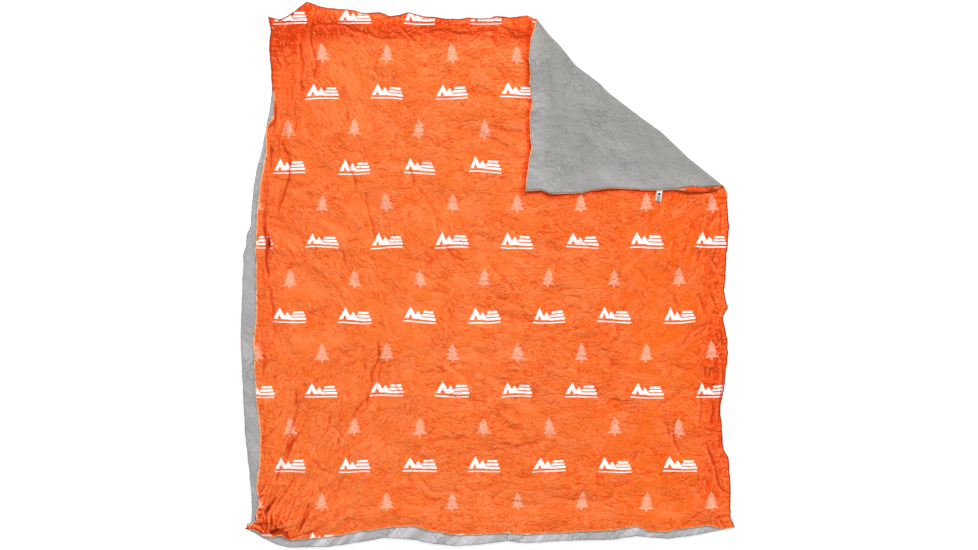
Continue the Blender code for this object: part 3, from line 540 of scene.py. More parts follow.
def pressCurve(chart, places, depth, width, steep, layer="heights"):
    # as a crease, but along a curve
    path, ways, length = curveThrough(places)
    window = windowOf(chart, path, crumple["reach"] * max(width, steep))
    xs, ys = chart["xs"][window[0]], chart["ys"][window[1], None]
    nearest = ((xs[:, None] - path[0]) ** 2 + (ys[..., None] - path[1]) ** 2).argmin(axis=2)
    wayX, wayY = ways[:, nearest]
    dx, dy = xs - path[0][nearest], ys - path[1][nearest]
    along = nearest / (path.shape[1] - 1) * length + dx * wayX + dy * wayY
    fade = min(0.4 * length, 35 * mm)
    ends = ease((along + 0.3 * fade) / fade) * ease((length - along + 0.3 * fade) / fade)
    off = dy * wayX - dx * wayY
    pressValley(chart[layer], window, off, depth * ends, width, steep, crumple["curveSoft"])


def pressMainCreases(chart, rows):
    # the creases that show most, with a thin line of shade at the bottom of each valley
    for depth, width, *places in rows:
        pressCurve(chart, places, depth * mm, width * mm, width * mm * 0.5)
        if depth > 0:
            pressCurve(chart, places, -min(depth / 7, 1.1), 4.5 * mm, 2.2 * mm, "lines")


def nearness(x, y, spot, reach):
    # 1 at a spot, and less away from it
    return np.exp(-((x - spot[0]) ** 2 + (y - spot[1]) ** 2) / reach**2)


def grainAt(x, y):
    # heading and spread of the crumple at one place, in radians
    c = s = spread = total = 0
    for gx, gy, reach, heading, wide in crumpleGrain:
        weight = nearness(x, y, (gx * cm, gy * cm), reach * cm) + 1e-9
        c = c + weight * math.cos(2 * math.radians(heading))
        s = s + weight * math.sin(2 * math.radians(heading))
        spread = spread + weight * wide
        total = total + weight
    return np.arctan2(s, c) / 2, np.radians(spread / total)


def facetField(x, y, size, stretch, heading):
    # how far each place is from the border of its facet; facets are long along the heading
    count = crumple["table"]
    table = chance.random((count, count, 2))
    u = (x * math.cos(heading) + y * math.sin(heading)) / (size * stretch)
    v = (y * math.cos(heading) - x * math.sin(heading)) / size
    iu, iv = np.floor(u), np.floor(v)
    first = np.full(u.shape, 9.0)
    second = np.full(u.shape, 9.0)
    for du in (-1, 0, 1):
        for dv in (-1, 0, 1):
            spot = table[(iu + du).astype(int) % count, (iv + dv).astype(int) % count]
            away = np.hypot(iu + du + spot[..., 0] - u, iv + dv + spot[..., 1] - v)
            second = np.minimum(second, np.maximum(first, away))
            first = np.minimum(first, away)
    return second - first


def addFacets(chart, x, y, heading, strength):
    # flat facets between sharp borders, long along the grain
    shape = chart["heights"].shape
    for size, stretch, height in crumple["facets"]:
        wander = [softField(shape, 9) * 0.22 * size for _ in range(2)]
        total = weights = 0
        for turned in np.radians((0, 45, 90, 135)):
            match = np.clip(np.cos(2 * (heading - turned)), 0, 1) ** 2
            field = facetField(x + wander[0], y + wander[1], size, stretch, turned)
            total = total + match * field
            weights = weights + match
        chart["heights"] += strength * height * (total / weights)


def addWrinkles(chart, heading, spread, strength, kind, density):
    # many straight creases of one kind, most of them valleys
    count, lengths, depths, widths = kind
    xs, ys = chart["xs"], chart["ys"]
    area = (xs[-1] - xs[0]) * (ys[-1] - ys[0])
    for _ in range(int(count * density * area / crumple["sheetArea"])):
        px, py = chance.uniform(xs[0], xs[-1]), chance.uniform(ys[0], ys[-1])
        c, r = int((px - chart["x0"]) / crumple["cell"]), int((py - chart["y0"]) / crumple["cell"])
        angle = heading[r, c] + spread[r, c] * chance.standard_normal()
        half = chance.uniform(*lengths) * mm / 2
        depth = chance.uniform(*depths) * mm * strength[r, c]
        if chance.random() < crumple["raised"]:
            depth = -depth
        width = chance.uniform(*widths) * mm
        dx, dy = half * math.cos(angle), half * math.sin(angle)
        ends = (px - dx, py - dy, px + dx, py + dy)
        pressCrease(chart, ends, depth, width, width * chance.uniform(0.35, 1))


def crumpled(chart, creases, strength, density):
    # presses the facets, thousands of small wrinkles and the main creases into a chart
    shape = chart["heights"].shape
    x, y = np.meshgrid(chart["xs"], chart["ys"])
    heading, spread = grainAt(x, y)
    strength = strength * np.clip(1 + 0.33 * softField(shape, 45), 0.35, 1.7)
    addFacets(chart, x, y, heading, strength)
    for kind in (crumple["folds"], crumple["wrinkles"]):
        addWrinkles(chart, heading, spread, strength, kind, density)
    pressMainCreases(chart, creases)
    for width, far in crumple["wander"]:
        cells = width / crumple["cell"] / 2
        sx, sy = softField(shape, cells) * far, softField(shape, cells) * far
        for layer in ("heights", "lines"):
            chart[layer] = readMap(chart[layer], chart, x + sx, y + sy)
    chart["lines"] *= np.clip(0.8 + 0.3 * softField(shape, 8), 0.25, 1.15)


def swellAt(x, y):
    total = 0
    for height, length, heading, start in swells:
        run = x * math.cos(math.radians(heading)) + y * math.sin(math.radians(heading))
        total = total + height * mm * np.sin(math.tau * run / (length * mm) + start)
    return total


def valleys(chart):
    # how much each place lies in a sharp valley, or on a ridge where it is negative
    h = chart["heights"]
    bend = np.zeros_like(h)
    bend[1:-1, 1:-1] = h[1:-1, 2:] + h[1:-1, :-2] + h[2:, 1:-1] + h[:-2, 1:-1] - 4 * h[1:-1, 1:-1]
    return bend / (0.2 * mm)


faceMap = heightMap()
crumpled(faceMap, faceCreases, 1.0, 1.0)
flapMap = heightMap(0.05, 0.18, 0.78, 0.82)
crumpled(flapMap, flapCreases, 0.32, 0.8)
print("crumple pressed into the height maps")

# Puckers at the hems: ridges that run in from the seam.
puckers = {
    "pitch": 13 * mm,
    "reach": (12, 46),
    "height": (0.5, 1.5),
    "width": (2.2, 4.2),
    "longShare": 0.22,
    "longReach": (55, 115),
    "turn": 16,  # degrees either way
    "bendEase": 20 * mm,
}
puckerMap = heightMap()


def addPuckers(edgePoint, inward, start, stop, strength):
    place = start
    while place < stop:
        x, y = edgePoint(place)
        long = chance.random() < puckers["longShare"]
        length = chance.uniform(*(puckers["longReach"] if long else puckers["reach"])) * mm
        angle = inward + math.radians(chance.normal(0, puckers["turn"]))
        dx, dy = length * math.cos(angle), length * math.sin(angle)
        height = chance.uniform(*puckers["height"]) * mm * strength
        width = chance.uniform(*puckers["width"]) * mm
        ends = (x - dx * 0.35, y - dy * 0.35, x + dx, y + dy)
        pressCrease(puckerMap, ends, -height, width, width)
        place += puckers["pitch"] * chance.uniform(0.55, 1.5)


addPuckers(lambda s: (leftX(s) + leftRoll(s), s), 0, -0.76, 0.77, 1.2)
addPuckers(lambda s: (s, bottomY(s) + bottomRoll(s)), math.pi / 2, -0.70, 0.73, 1.0)
addPuckers(lambda s: (s, topY(s)), -math.pi / 2, -0.66, 0.14, 1.1)
addPuckers(lambda s: (rightX(s), s), math.pi, -0.75, 0.26, 1.1)
for _ in range(corner["fineFolds"]):  # fine folds that run out of the gathered corner
    angle = math.radians(chance.uniform(12, 82))
    fromX, fromY = corner["foldsFrom"]
    spans = chance.uniform(0.05, 0.12), chance.uniform(0.14, 0.30)
    ends = [at for far in spans for at in (fromX + far * math.cos(angle), fromY + far * math.sin(angle))]
    pressCrease(puckerMap, ends, -chance.uniform(0.6, 1.8) * mm, 4 * mm, 3 * mm)
pressMainCreases(puckerMap, [(-tall, *rest) for tall, *rest in cornerFolds + hemFolds])
print("puckers laid in at the hems")


def edgeDistance(x, y):
    inward = x - leftX(y) - leftRoll(y), y - bottomY(x) - bottomRoll(x)
    return np.minimum.reduce([*inward, topY(x) - y, rightX(y) - x])


def insideFlap(x, y):
    # how far in from the side and the foot of the turned corner
    return np.minimum(x - flapSideX(y), y - flapFootY(x))


def underFlap(x, y):
    return ease(insideFlap(x, y) / stack["underEase"])


tab = {
    "place": (0.5158, 0.2572, 0.01264),
    "turn": -9,  # degrees
    "tilt": 1.225,
    "spot": (51.3 * cm, 24.0 * cm),
    "room": 9.3 * mm,  # the face lies no higher than this under the tab
    "halfWidth": 8.5 * mm,
    "ribPitch": 1.3 * mm,
    "threadPitch": 0.9 * mm,
}


def puffAt(x, y):
    out = fromBend(x, y)[1]
    high = stack["puff"] + swellAt(x, y) + readMap(faceMap["heights"], faceMap, x, y)
    high = np.maximum(high, stack["puffLeast"])
    hem = ease(edgeDistance(x, y) / stack["edgeEase"])
    return hem * ease(-out / turn["ease"]) * (1 - underFlap(x, y)) * high


def riseOverRoll(x, y):
    total = np.zeros_like(x)
    for inward, width in ((x - leftX(y), leftRoll(y)), (y - bottomY(x), bottomRoll(x))):
        past = (inward - width - roll["lap"]) / roll["ease"]
        total = np.maximum(total, 2 * rollRadius(width) * (1 - ease(past)))
    return total


def faceHeight(x, y):
    inward = edgeDistance(x, y)
    step = stack["seamStep"]
    step = step + (stack["layerStep"] - step) * ease(inward / stack["edgeEase"])
    flat = stack["foot"] + step
    out = fromBend(x, y)[1]
    hemmed = readMap(puckerMap["heights"], puckerMap, x, y)
    hemmed = hemmed * ease(-out / puckers["bendEase"]) * (1 - underFlap(x, y))
    gathered = corner["height"] * nearness(x, y, corner["spot"], corner["reach"])
    gathered = gathered * ease((inward + corner["ease"]) / (2 * corner["ease"]))
    upper = flat + riseOverRoll(x, y) + np.maximum(puffAt(x, y) + hemmed + gathered, 0.2 * mm)
    near = 1 - ease((np.hypot(x - tab["spot"][0], y - tab["spot"][1]) - 25 * mm) / (45 * mm))
    upper = upper - np.maximum(upper - tab["room"], 0) * near
    return np.where(out > 0, flat, upper)


def flapLift(x, y, past):
    own = turn["lift"] + swellAt(x, y) + readMap(flapMap["heights"], flapMap, x, y)
    return puffAt(x, y) + ease(past / turn["ease"]) * np.maximum(own, 0)


def lie(x, y, height):
    # where points of the flat sheet lie once the corner is turned over
    along, out = fromBend(x, y)
    turned = out >= halfTurn
    bending = (out > 0) & ~turned
    angle = np.clip(out, 0, halfTurn) / turn["radius"]
    across = np.where(turned, halfTurn - out, out)
    across = np.where(bending, (turn["radius"] - height) * np.sin(angle), across)
    over = 2 * turn["radius"] - height + flapLift(*openedLanding(x, y), out - halfTurn)
    around = turn["radius"] - (turn["radius"] - height) * np.cos(angle)
    up = np.where(turned, over, np.where(bending, around, height))
    bow = inwardBow(along) * (1 - ease(np.abs(across) / turn["fade"]))
    return np.stack([*atBend(along, across - bow), up], axis=1)


def coordsOf(shape):
    return np.array([vert.co[:] for vert in shape.verts])


def moveTo(shape, places):
    for vert, place in zip(shape.verts, places):
        vert.co = place


def sheetGrid(edges, cell, finerRegions):
    # a grid of unit size, cut finer where it shows, laid out on the plan and cut along the bend
    shape = bmesh.new()
    shareU = shape.verts.layers.float.new("across")
    shareV = shape.verts.layers.float.new("up")
    columns, rows = round(1.48 / cell), round(1.63 / cell)
    bmesh.ops.create_grid(shape, x_segments=columns, y_segments=rows, size=0.5)
    bmesh.ops.translate(shape, vec=(0.5, 0.5, 0), verts=shape.verts[:])
    for wanted in finerRegions:
        shape.verts.index_update()
        places = coordsOf(shape)
        x, y = planOf(edges, places[:, 0], places[:, 1])
        inside = [wanted(x, y, upright) for upright in (False, True)]
        chosen = []
        for edge in shape.edges:
            a, b = edge.verts
            picked = inside[abs(a.co.y - b.co.y) > abs(a.co.x - b.co.x)]
            if picked[a.index] and picked[b.index]:
                chosen.append(edge)
        bmesh.ops.subdivide_edges(shape, edges=chosen, cuts=1, use_grid_fill=True)
    places = coordsOf(shape)
    x, y = planOf(edges, places[:, 0], places[:, 1])
    for vert, u, v in zip(shape.verts, places[:, 0], places[:, 1]):
        vert[shareU], vert[shareV] = u, v
    moveTo(shape, np.stack([x, y, np.zeros_like(x)], axis=1))
    for cut in range(turn["cuts"] + 1):
        bmesh.ops.bisect_plane(
            shape,
            geom=shape.verts[:] + shape.edges[:] + shape.faces[:],
            plane_co=(*atBend(0, halfTurn * cut / turn["cuts"]), 0),
            plane_no=(*outOfBend, 0),
            dist=0.2 * mm,
        )
    return shape


def keepCut(shape):
    # stores the flat plan on the vertices, for the print and the weave
    cutX = shape.verts.layers.float.new("cutX")
    cutY = shape.verts.layers.float.new("cutY")
    for vert in shape.verts:
        vert[cutX], vert[cutY] = vert.co.x, vert.co.y


def pieceOf(name, shape, material):
    mesh = bpy.data.meshes.new(name)
    shape.to_mesh(mesh)
    shape.free()
    mesh.shade_smooth()
    mesh.materials.append(material)
    piece = bpy.data.objects.new(name, mesh)
    scene.collection.objects.link(piece)
    return piece


def bakeModifiers(piece):
    # puts the modifiers into the mesh and counts its triangles
    graph = bpy.context.evaluated_depsgraph_get()
    piece.data = bpy.data.meshes.new_from_object(piece.evaluated_get(graph), depsgraph=graph)
    piece.modifiers.clear()
    return sum(len(face.vertices) - 2 for face in piece.data.polygons)


def readLayer(mesh, name):
    values = np.empty(len(mesh.vertices), np.float32)
    mesh.attributes[name].data.foreach_get("value", values)
    return values


def finishSheet(name, shape, material, marks, most):
    # the sheet gets its thickness, its flat cut as a UV map, and fewer faces where nobody looks
    shape.normal_update()
    piece = pieceOf(name, shape, material)
    mesh = piece.data
    flat = np.stack([readLayer(mesh, "cutX"), readLayer(mesh, "cutY")], axis=1)
    corners = np.empty(len(mesh.loops), np.int32)
    mesh.loops.foreach_get("vertex_index", corners)
    mesh.uv_layers.new(name="cut").data.foreach_set("uv", (flat[corners] * stack["cutScale"]).ravel())
    for mark in ("crease", "lightAndShade", "rim"):
        mesh.attributes.new(mark, "FLOAT", "POINT").data.foreach_set("value", marks[mark])
    grain = mesh.attributes.new("grain", "FLOAT_COLOR", "POINT")
    grain.data.foreach_set("color", marks["grain"].ravel())
    for layer in ("across", "up", "cutX", "cutY", "ringAngle", "rib"):
        if layer in mesh.attributes:
            mesh.attributes.remove(mesh.attributes[layer])
    piece.vertex_groups.new(name="unseen")
    shell = piece.modifiers.new("thickness", "SOLIDIFY")
    shell.thickness = stack["thickness"]
    shell.offset = 0
    shell.shell_vertex_group = "unseen"
    bpy.context.view_layer.update()
    count = bakeModifiers(piece)
    print(name, "starts with", count, "triangles")
    if count > most:
        thin = piece.modifiers.new("fewer unseen faces", "DECIMATE")
        thin.vertex_group = "unseen"
        thin.vertex_group_factor = 1
        thin.ratio = most / count
        count = bakeModifiers(piece)
    piece.data.name = name
    piece.data.shade_smooth()
    print(name, "has", count, "triangles")
    return piece


# Material helpers
class Nodes:
    def __init__(self, name):
        self.material = bpy.data.materials.new(name)
        self.material.use_nodes = True
        self.tree = self.material.node_tree
        self.shader = self.tree.nodes["Principled BSDF"]

    def feed(self, socket, value):
        if isinstance(value, bpy.types.NodeSocket):
            self.tree.links.new(value, socket)
        else:
            socket.default_value = value

    def add(self, kind, settings=None, *values, **named):
        node = self.tree.nodes.new("ShaderNode" + kind)
        for key, value in (settings or {}).items():
            setattr(node, key, value)
        for socket, value in zip(node.inputs, values):
            self.feed(socket, value)
        for key, value in named.items():
            self.feed(node.inputs[key.replace("_", " ")], value)
        return node

    def math(self, operation, *values, clamp=False):
        return self.add("Math", {"operation": operation, "use_clamp": clamp}, *values).outputs[0]

    def times(self, *values):
        return reduce(partial(self.math, "MULTIPLY"), values)

    def plus(self, *values):
        return reduce(partial(self.math, "ADD"), values)

    def less(self, *values):
        return reduce(partial(self.math, "SUBTRACT"), values)

    def least(self, *values):
        return reduce(partial(self.math, "MINIMUM"), values)

    def most(self, *values):
        return reduce(partial(self.math, "MAXIMUM"), values)

    def scaled(self, value, factor, more):
        return self.math("MULTIPLY_ADD", value, factor, more)

    def vector(self, operation, *values, output="Vector"):
        return self.add("VectorMath", {"operation": operation}, *values).outputs[output]

    def ramp(self, value, low, high, kind="SMOOTHSTEP"):
        # from 0 at low to 1 at high, softly or in a straight line
        node = self.add("MapRange", {"interpolation_type": kind}, Value=value, From_Min=low, From_Max=high)
        return node.outputs[0]

    def parts(self, value):
        return self.add("SeparateXYZ", Vector=value).outputs

    def attribute(self, name, output="Fac"):
        return self.add("Attribute", {"attribute_name": name}).outputs[output]

    def noise(self, where, scale, detail=2, kind="Fac"):
        return self.add("TexNoise", Vector=where, Scale=scale, Detail=detail).outputs[kind]

    def framed(self, place, **frameInputs):
        # a place as seen in a turned frame of its own
        return self.add("Mapping", {"vector_type": "TEXTURE"}, Vector=place, **frameInputs).outputs[0]

    def bump(self, height, distance, strength=1, **below):
        return self.add("Bump", Height=height, Distance=distance, Strength=strength, **below).outputs[0]

    def layered(self, colour, look, *layers):
        # lays tints over a colour, each by its own share
        for share, tint in layers:
            node = self.add("Mix", {"data_type": "RGBA"})
            for socket, value in zip((0, 6, 7), (share, colour, look[tint])):
                self.feed(node.inputs[socket], value)
            colour = node.outputs[2]
        return colour

    def surface(self, **values):
        for key, value in values.items():
            self.feed(self.shader.inputs[key.replace("_", " ")], value)
        return self.material


crinkle = {
    "headings": (0, 60, 120),  # degrees; the grain says how much of each shows at a place
    "wander": ((6, 0.07), (24, 0.022), (65, 0.009)),  # scale and distance
    "stretch": 2.5,
    "strand": 13 * mm,
    "plane": 50 * mm,
    "groove": 3.2 * mm,
    "fine": 11 * mm,
    "fineGroove": 2 * mm,
    "netGroove": 3 * mm,
    "height": 2.8 * mm,
    "tooth": 0.12 * mm,
}


def wandered(nodes, cut):
    # shifts a place by soft noise, so that nothing runs straight
    for scale, far in crinkle["wander"]:
        cut = nodes.vector("MULTIPLY_ADD", nodes.noise(cut, scale, 1, "Color"), (far, far, 0), cut)
    return cut


def turnedPlace(nodes, place, heading, stretch, start):
    turned = (0, 0, math.radians(heading))
    return nodes.framed(place, Location=(start, 0.37 * start, 0), Rotation=turned, Scale=(stretch, 1, 1))


def facetEdge(nodes, place, size, half):
    # 0 on the border between two facets, 1 from half a groove away
    settings = {"feature": "DISTANCE_TO_EDGE", "voronoi_dimensions": "2D"}
    cells = nodes.add("TexVoronoi", settings, Vector=place, Scale=1 / size)
    return nodes.ramp(cells.outputs["Distance"], 0, half / size, "LINEAR")


def facetTilt(nodes, place, size):
    # how far a place rises on its own tilted facet, as a share of its size, and a random value of it
    cells = nodes.add("TexVoronoi", {"voronoi_dimensions": "2D"}, Vector=place, Scale=1 / size).outputs
    inside = nodes.vector("SUBTRACT", place, cells["Position"])
    lean = nodes.vector("SUBTRACT", cells["Color"], (0.5, 0.5, 0.5))
    rise = nodes.vector("DOT_PRODUCT", inside, lean, output="Value")
    own = nodes.add("SeparateColor", Color=cells["Color"]).outputs[2]
    return nodes.math("DIVIDE", rise, size), own


def crinkleBump(nodes, cut, strength, start, calm, facet):
    # the crumple below the size of the mesh: bundles of thin folds along the grain, patch by patch,
    # over small tilted facets; with the shares of painted shade along the thin folds, painted light on
    # the facets and a painted highlight beside the folds at each place
    shares = nodes.add("SeparateColor", Color=nodes.attribute("grain", "Color")).outputs
    place = wandered(nodes, cut)
    patches = nodes.parts(nodes.noise(cut, 9, 3, "Color"))
    total = tint = line = glow = 0.0
    for index, heading in enumerate(crinkle["headings"]):
        along = turnedPlace(nodes, place, heading, crinkle["stretch"], start + 0.7 * index)
        picked = nodes.ramp(nodes.scaled(patches[index], 1.5, shares[index]), 0.96 + calm, 1.26 + calm)
        tilt, own = facetTilt(nodes, along, facet)
        facets = nodes.times(facetEdge(nodes, along, facet, crinkle["groove"]), nodes.scaled(tilt, 2.2, 0.5))
        wave = nodes.less(nodes.noise(along, 1 / crinkle["strand"], 1.4), 0.5)
        # painted highlight along both sides of each fold
        lit = nodes.times(nodes.ramp(wave, 0.115, 0.075), nodes.ramp(wave, 0.035, 0.075))
        glow = nodes.most(nodes.times(lit, picked), glow)
        wave = nodes.math("ABSOLUTE", wave)
        folds = nodes.ramp(wave, 0, 0.10, "LINEAR")
        total = nodes.scaled(nodes.scaled(folds, 0.55, facets), picked, total)
        # each facet's random value, which the materials turn into painted light on the facets
        tint = nodes.scaled(own, shares[index], tint)
        # painted shade along the bottom of each fold
        line = nodes.most(nodes.times(nodes.ramp(wave, 0.033, 0.004), picked), line)
    # a finer set of folds in patches, and a broken net of thin ones
    patch = nodes.ramp(nodes.noise(cut, 7, 2), 0.34, 0.66)
    small = turnedPlace(nodes, place, 35, 1.5, start)
    fine = facetEdge(nodes, small, crinkle["fine"], crinkle["fineGroove"])
    # the finer folds and the net give painted shade on their lines, and the net a painted highlight beside
    # them
    line = nodes.most(nodes.times(nodes.ramp(fine, 0.6, 0.0), patch, 0.6), line)
    meshed = turnedPlace(nodes, place, 110, 1.4, start + 5)
    net = facetEdge(nodes, meshed, facet, crinkle["netGroove"])
    spared = nodes.ramp(nodes.noise(cut, 30, 2), 0.47, 0.62)
    line = nodes.most(nodes.times(nodes.ramp(net, 0.42, 0.05), spared, 0.8), line)
    beam = nodes.times(nodes.ramp(net, 0.45, 0.75), nodes.ramp(net, 0.999, 0.8))
    glow = nodes.most(nodes.times(beam, nodes.times(spared, 0.7)), glow)
    fine = nodes.plus(nodes.times(fine, 0.3, patch), nodes.times(net, 0.5, spared))
    wide, _ = facetTilt(nodes, turnedPlace(nodes, place, 25, 1.5, start + 3), crinkle["plane"])
    total = nodes.scaled(wide, 2.1 * (1 - calm), total)
    normal = nodes.bump(nodes.plus(total, fine), crinkle["height"], strength)
    normal = nodes.bump(nodes.noise(cut, 900, 3), crinkle["tooth"], 0.5 * strength, Normal=normal)
    return normal, line, tint, glow


# The two marks of the print: peaks as middle, foot, height and slope, and bars as middle, level,
# half width and half height, in metres.
whiteMark = {
    "peaks": [(-0.028, -0.012, 0.036, 1.9), (-0.006, -0.012, 0.024, 1.5)],
    "notch": (-0.029, -0.012, 0.014, 2.2),
    "bars": [
        (0.026, 0.010, 0.016, 0.0032), (0.026, 0.000, 0.020, 0.0032),
        (0.026, -0.010, 0.024, 0.0032), (0.0, -0.021, 0.050, 0.0016),
    ],
    "soft": 0.0007,
}
paleTree = {
    "peaks": [(0.0, 0.008, 0.022, 1.6), (0.0, -0.006, 0.024, 1.35), (0.0, -0.020, 0.026, 1.15)],
    "bars": [(0.0, -0.023, 0.0028, 0.005)],
    "soft": 0.0008,
}
printRows = {"rowPitch": 0.230, "columnPitch": 0.200, "drift": 0.022}


def peak(nodes, x, y, middle, foot, height, slope):
    # below zero inside a triangle that stands on a line
    side = nodes.math("ABSOLUTE", nodes.less(x, middle))
    over = nodes.less(nodes.scaled(side, slope, y), foot + height)
    return nodes.most(nodes.math("DIVIDE", over, math.hypot(1, slope)), nodes.less(foot, y))


def bar(nodes, x, y, middle, level, halfWide, halfTall):
    # below zero inside a level bar
    sideways = nodes.less(nodes.math("ABSOLUTE", nodes.less(x, middle)), halfWide)
    upward = nodes.less(nodes.math("ABSOLUTE", nodes.less(y, level)), halfTall)
    return nodes.most(sideways, upward)


def printedMark(nodes, x, y, mark, shift):
    # repeats a mark in rows; every other row is half a step along
    rowPitch, columnPitch = printRows["rowPitch"], printRows["columnPitch"]
    row = nodes.plus(nodes.math("DIVIDE", y, rowPitch), shift)
    number = nodes.math("FLOOR", row)
    half = nodes.times(nodes.math("MODULO", nodes.plus(number, 40.0), 2.0), 0.5)
    column = nodes.plus(nodes.math("DIVIDE", x, columnPitch), half, 100 + shift)
    localX = nodes.times(nodes.less(column, nodes.math("FLOOR", column), 0.5), columnPitch)
    localY = nodes.times(nodes.less(row, number, 0.5), rowPitch)
    shapes = [peak(nodes, localX, localY, *numbers) for numbers in mark["peaks"]]
    shapes += [bar(nodes, localX, localY, *numbers) for numbers in mark["bars"]]
    total = nodes.least(*shapes)
    if "notch" in mark:
        total = nodes.most(total, nodes.times(peak(nodes, localX, localY, *mark["notch"]), -1.0))
    return nodes.ramp(total, mark["soft"], -mark["soft"])


def faceMaterial():
    # besides the orange, the warmer orange and the two print colours, these are painted shade (the four
    # darker ones) and painted light (pale, and hem along the hems)
    look = {
        "orange": (0.790, 0.154, 0.0265, 1),
        "warm": (0.790, 0.134, 0.0105, 1),
        "deepShade": (0.72, 0.054, 0.0060, 1),
        "creaseShade": (0.745, 0.045, 0.0035, 1),
        "shade": (0.47, 0.036, 0.004, 1),
        "dark": (0.16, 0.016, 0.005, 1),
        "pale": (0.85, 0.215, 0.070, 1),
        "hem": (0.93, 0.54, 0.30, 1),
        "white": (0.95, 0.93, 0.91, 1),
        "blush": (0.92, 0.45, 0.32, 1),
    }
    nodes = Nodes("orange printed cloth")
    cut = nodes.add("UVMap", {"uv_map": "cut"}).outputs[0]
    normal, line, tint, glow = crinkleBump(nodes, cut, 0.64, 0.0, 0.07, 22 * mm)
    crease, lightAndShade, rim = (nodes.attribute(name) for name in ("crease", "lightAndShade", "rim"))
    printed = nodes.attribute("grain", "Alpha")
    place = nodes.parts(cut)

    # the print: rows of a white mark, and rows of a pale tree between them
    drift = nodes.parts(nodes.noise(cut, 7, 1, "Color"))
    x, y = (nodes.scaled(drift[axis], printRows["drift"], place[axis]) for axis in (0, 1))
    white = printedMark(nodes, x, y, whiteMark, 0.0)
    blush = printedMark(nodes, x, y, paleTree, 0.5)
    worn = nodes.ramp(nodes.noise(cut, 160, 3), 0.25, 0.60)
    blush = nodes.times(blush, nodes.scaled(worn, 0.55, 0.2))
    rubbed = nodes.ramp(nodes.noise(cut, 230, 3), 0.2, 0.42)
    white = nodes.times(white, nodes.scaled(rubbed, 0.22, 0.76))

    # Over the orange: painted light on the facets, on the crease ridges and beside the folds; painted shade
    # from the light-and-shade mark, along the folds and in the crease valleys; the print; painted shade at
    # the outlines and hollows, and a painted highlight along the hems.
    colour = nodes.layered(
        look["orange"], look,
        (nodes.ramp(place[0], 0.05, 0.7), "warm"),
        (nodes.times(nodes.ramp(tint, 0.3, 0.85), 0.6), "pale"),
        (nodes.times(nodes.ramp(crease, -0.2, -1.4), 0.4), "pale"),
        (nodes.most(lightAndShade, 0.0), "deepShade"),
        (nodes.math("MULTIPLY", glow, nodes.scaled(lightAndShade, 0.3, 0.47), clamp=True), "pale"),
        (nodes.math("MULTIPLY", line, nodes.scaled(lightAndShade, 0.3, 0.74), clamp=True), "creaseShade"),
        (nodes.ramp(nodes.scaled(line, 0.8, lightAndShade), 0.9, 2.2), "shade"),
        (nodes.times(blush, printed), "blush"),
        (nodes.times(white, printed), "white"),
        (nodes.times(nodes.ramp(crease, 0.25, 1.6), 0.30), "deepShade"),
        (nodes.ramp(rim, 0.05, 1.0), "shade"),
        (nodes.ramp(rim, 0.9, 1.8), "dark"),
        (nodes.ramp(rim, -0.05, -0.8), "hem"),
    )
    rough = nodes.scaled(nodes.noise(cut, 60, 2), 0.2, 0.5)
    return nodes.surface(Base_Color=colour, Roughness=rough, Normal=normal, Specular_IOR_Level=0.04)


def backMaterial():
    look = {
        "grey": (0.250, 0.246, 0.229, 1),
        "cool": (0.254, 0.252, 0.243, 1),
        "light": (0.62, 0.588, 0.640, 1),
        "deepShade": (0.18, 0.175, 0.168, 1),
        "dark": (0.085, 0.083, 0.082, 1),
    }
    nodes = Nodes("silver-grey reflective cloth")
    cut = nodes.add("UVMap", {"uv_map": "cut"}).outputs[0]
    normal, line, tint, glow = crinkleBump(nodes, cut, 0.6, 3.1, 0.45, 30 * mm)
    crease, lightAndShade, rim = (nodes.attribute(name) for name in ("crease", "lightAndShade", "rim"))
    # painted shade in the crease valleys
    hollowShade = nodes.times(nodes.ramp(crease, 0.1, 1.4), 0.35)
    shaded = nodes.most(nodes.times(lightAndShade, -1.0), 0.0)
    # Over the grey: painted light on the facets, beside the folds, on the rolled bands and on the lit parts
    # of the turned corner; painted shade in the creases, along the folds and on its shaded parts; and
    # painted shade along the roll's outer edge and the bend.
    colour = nodes.layered(
        look["grey"], look,
        (nodes.ramp(nodes.noise(cut, 11, 2), 0.35, 0.7), "cool"),
        (nodes.times(nodes.ramp(tint, 0.35, 0.85), 0.05), "light"),
        (nodes.times(glow, 0.17), "light"),
        (nodes.most(lightAndShade, 0.0), "light"),
        (nodes.plus(hollowShade, nodes.times(line, 0.65), shaded), "deepShade"),
        (nodes.ramp(rim, 0.05, 1.0), "dark"),
    )
    rough = nodes.scaled(nodes.noise(cut, 40, 2), 0.15, 0.5)
    return nodes.surface(Base_Color=colour, Roughness=rough, Normal=normal, Specular_IOR_Level=0.3)


# The orange face sheet
faceSheet = {
    "cell": 12 * mm,
    "most": 197000,
    "pastBend": 25 * mm,  # it shows up to here past the bend
    "underFlap": 30 * mm,
    "hem": 26 * mm,
    "sideHem": (22 * mm, 24 * mm),
}


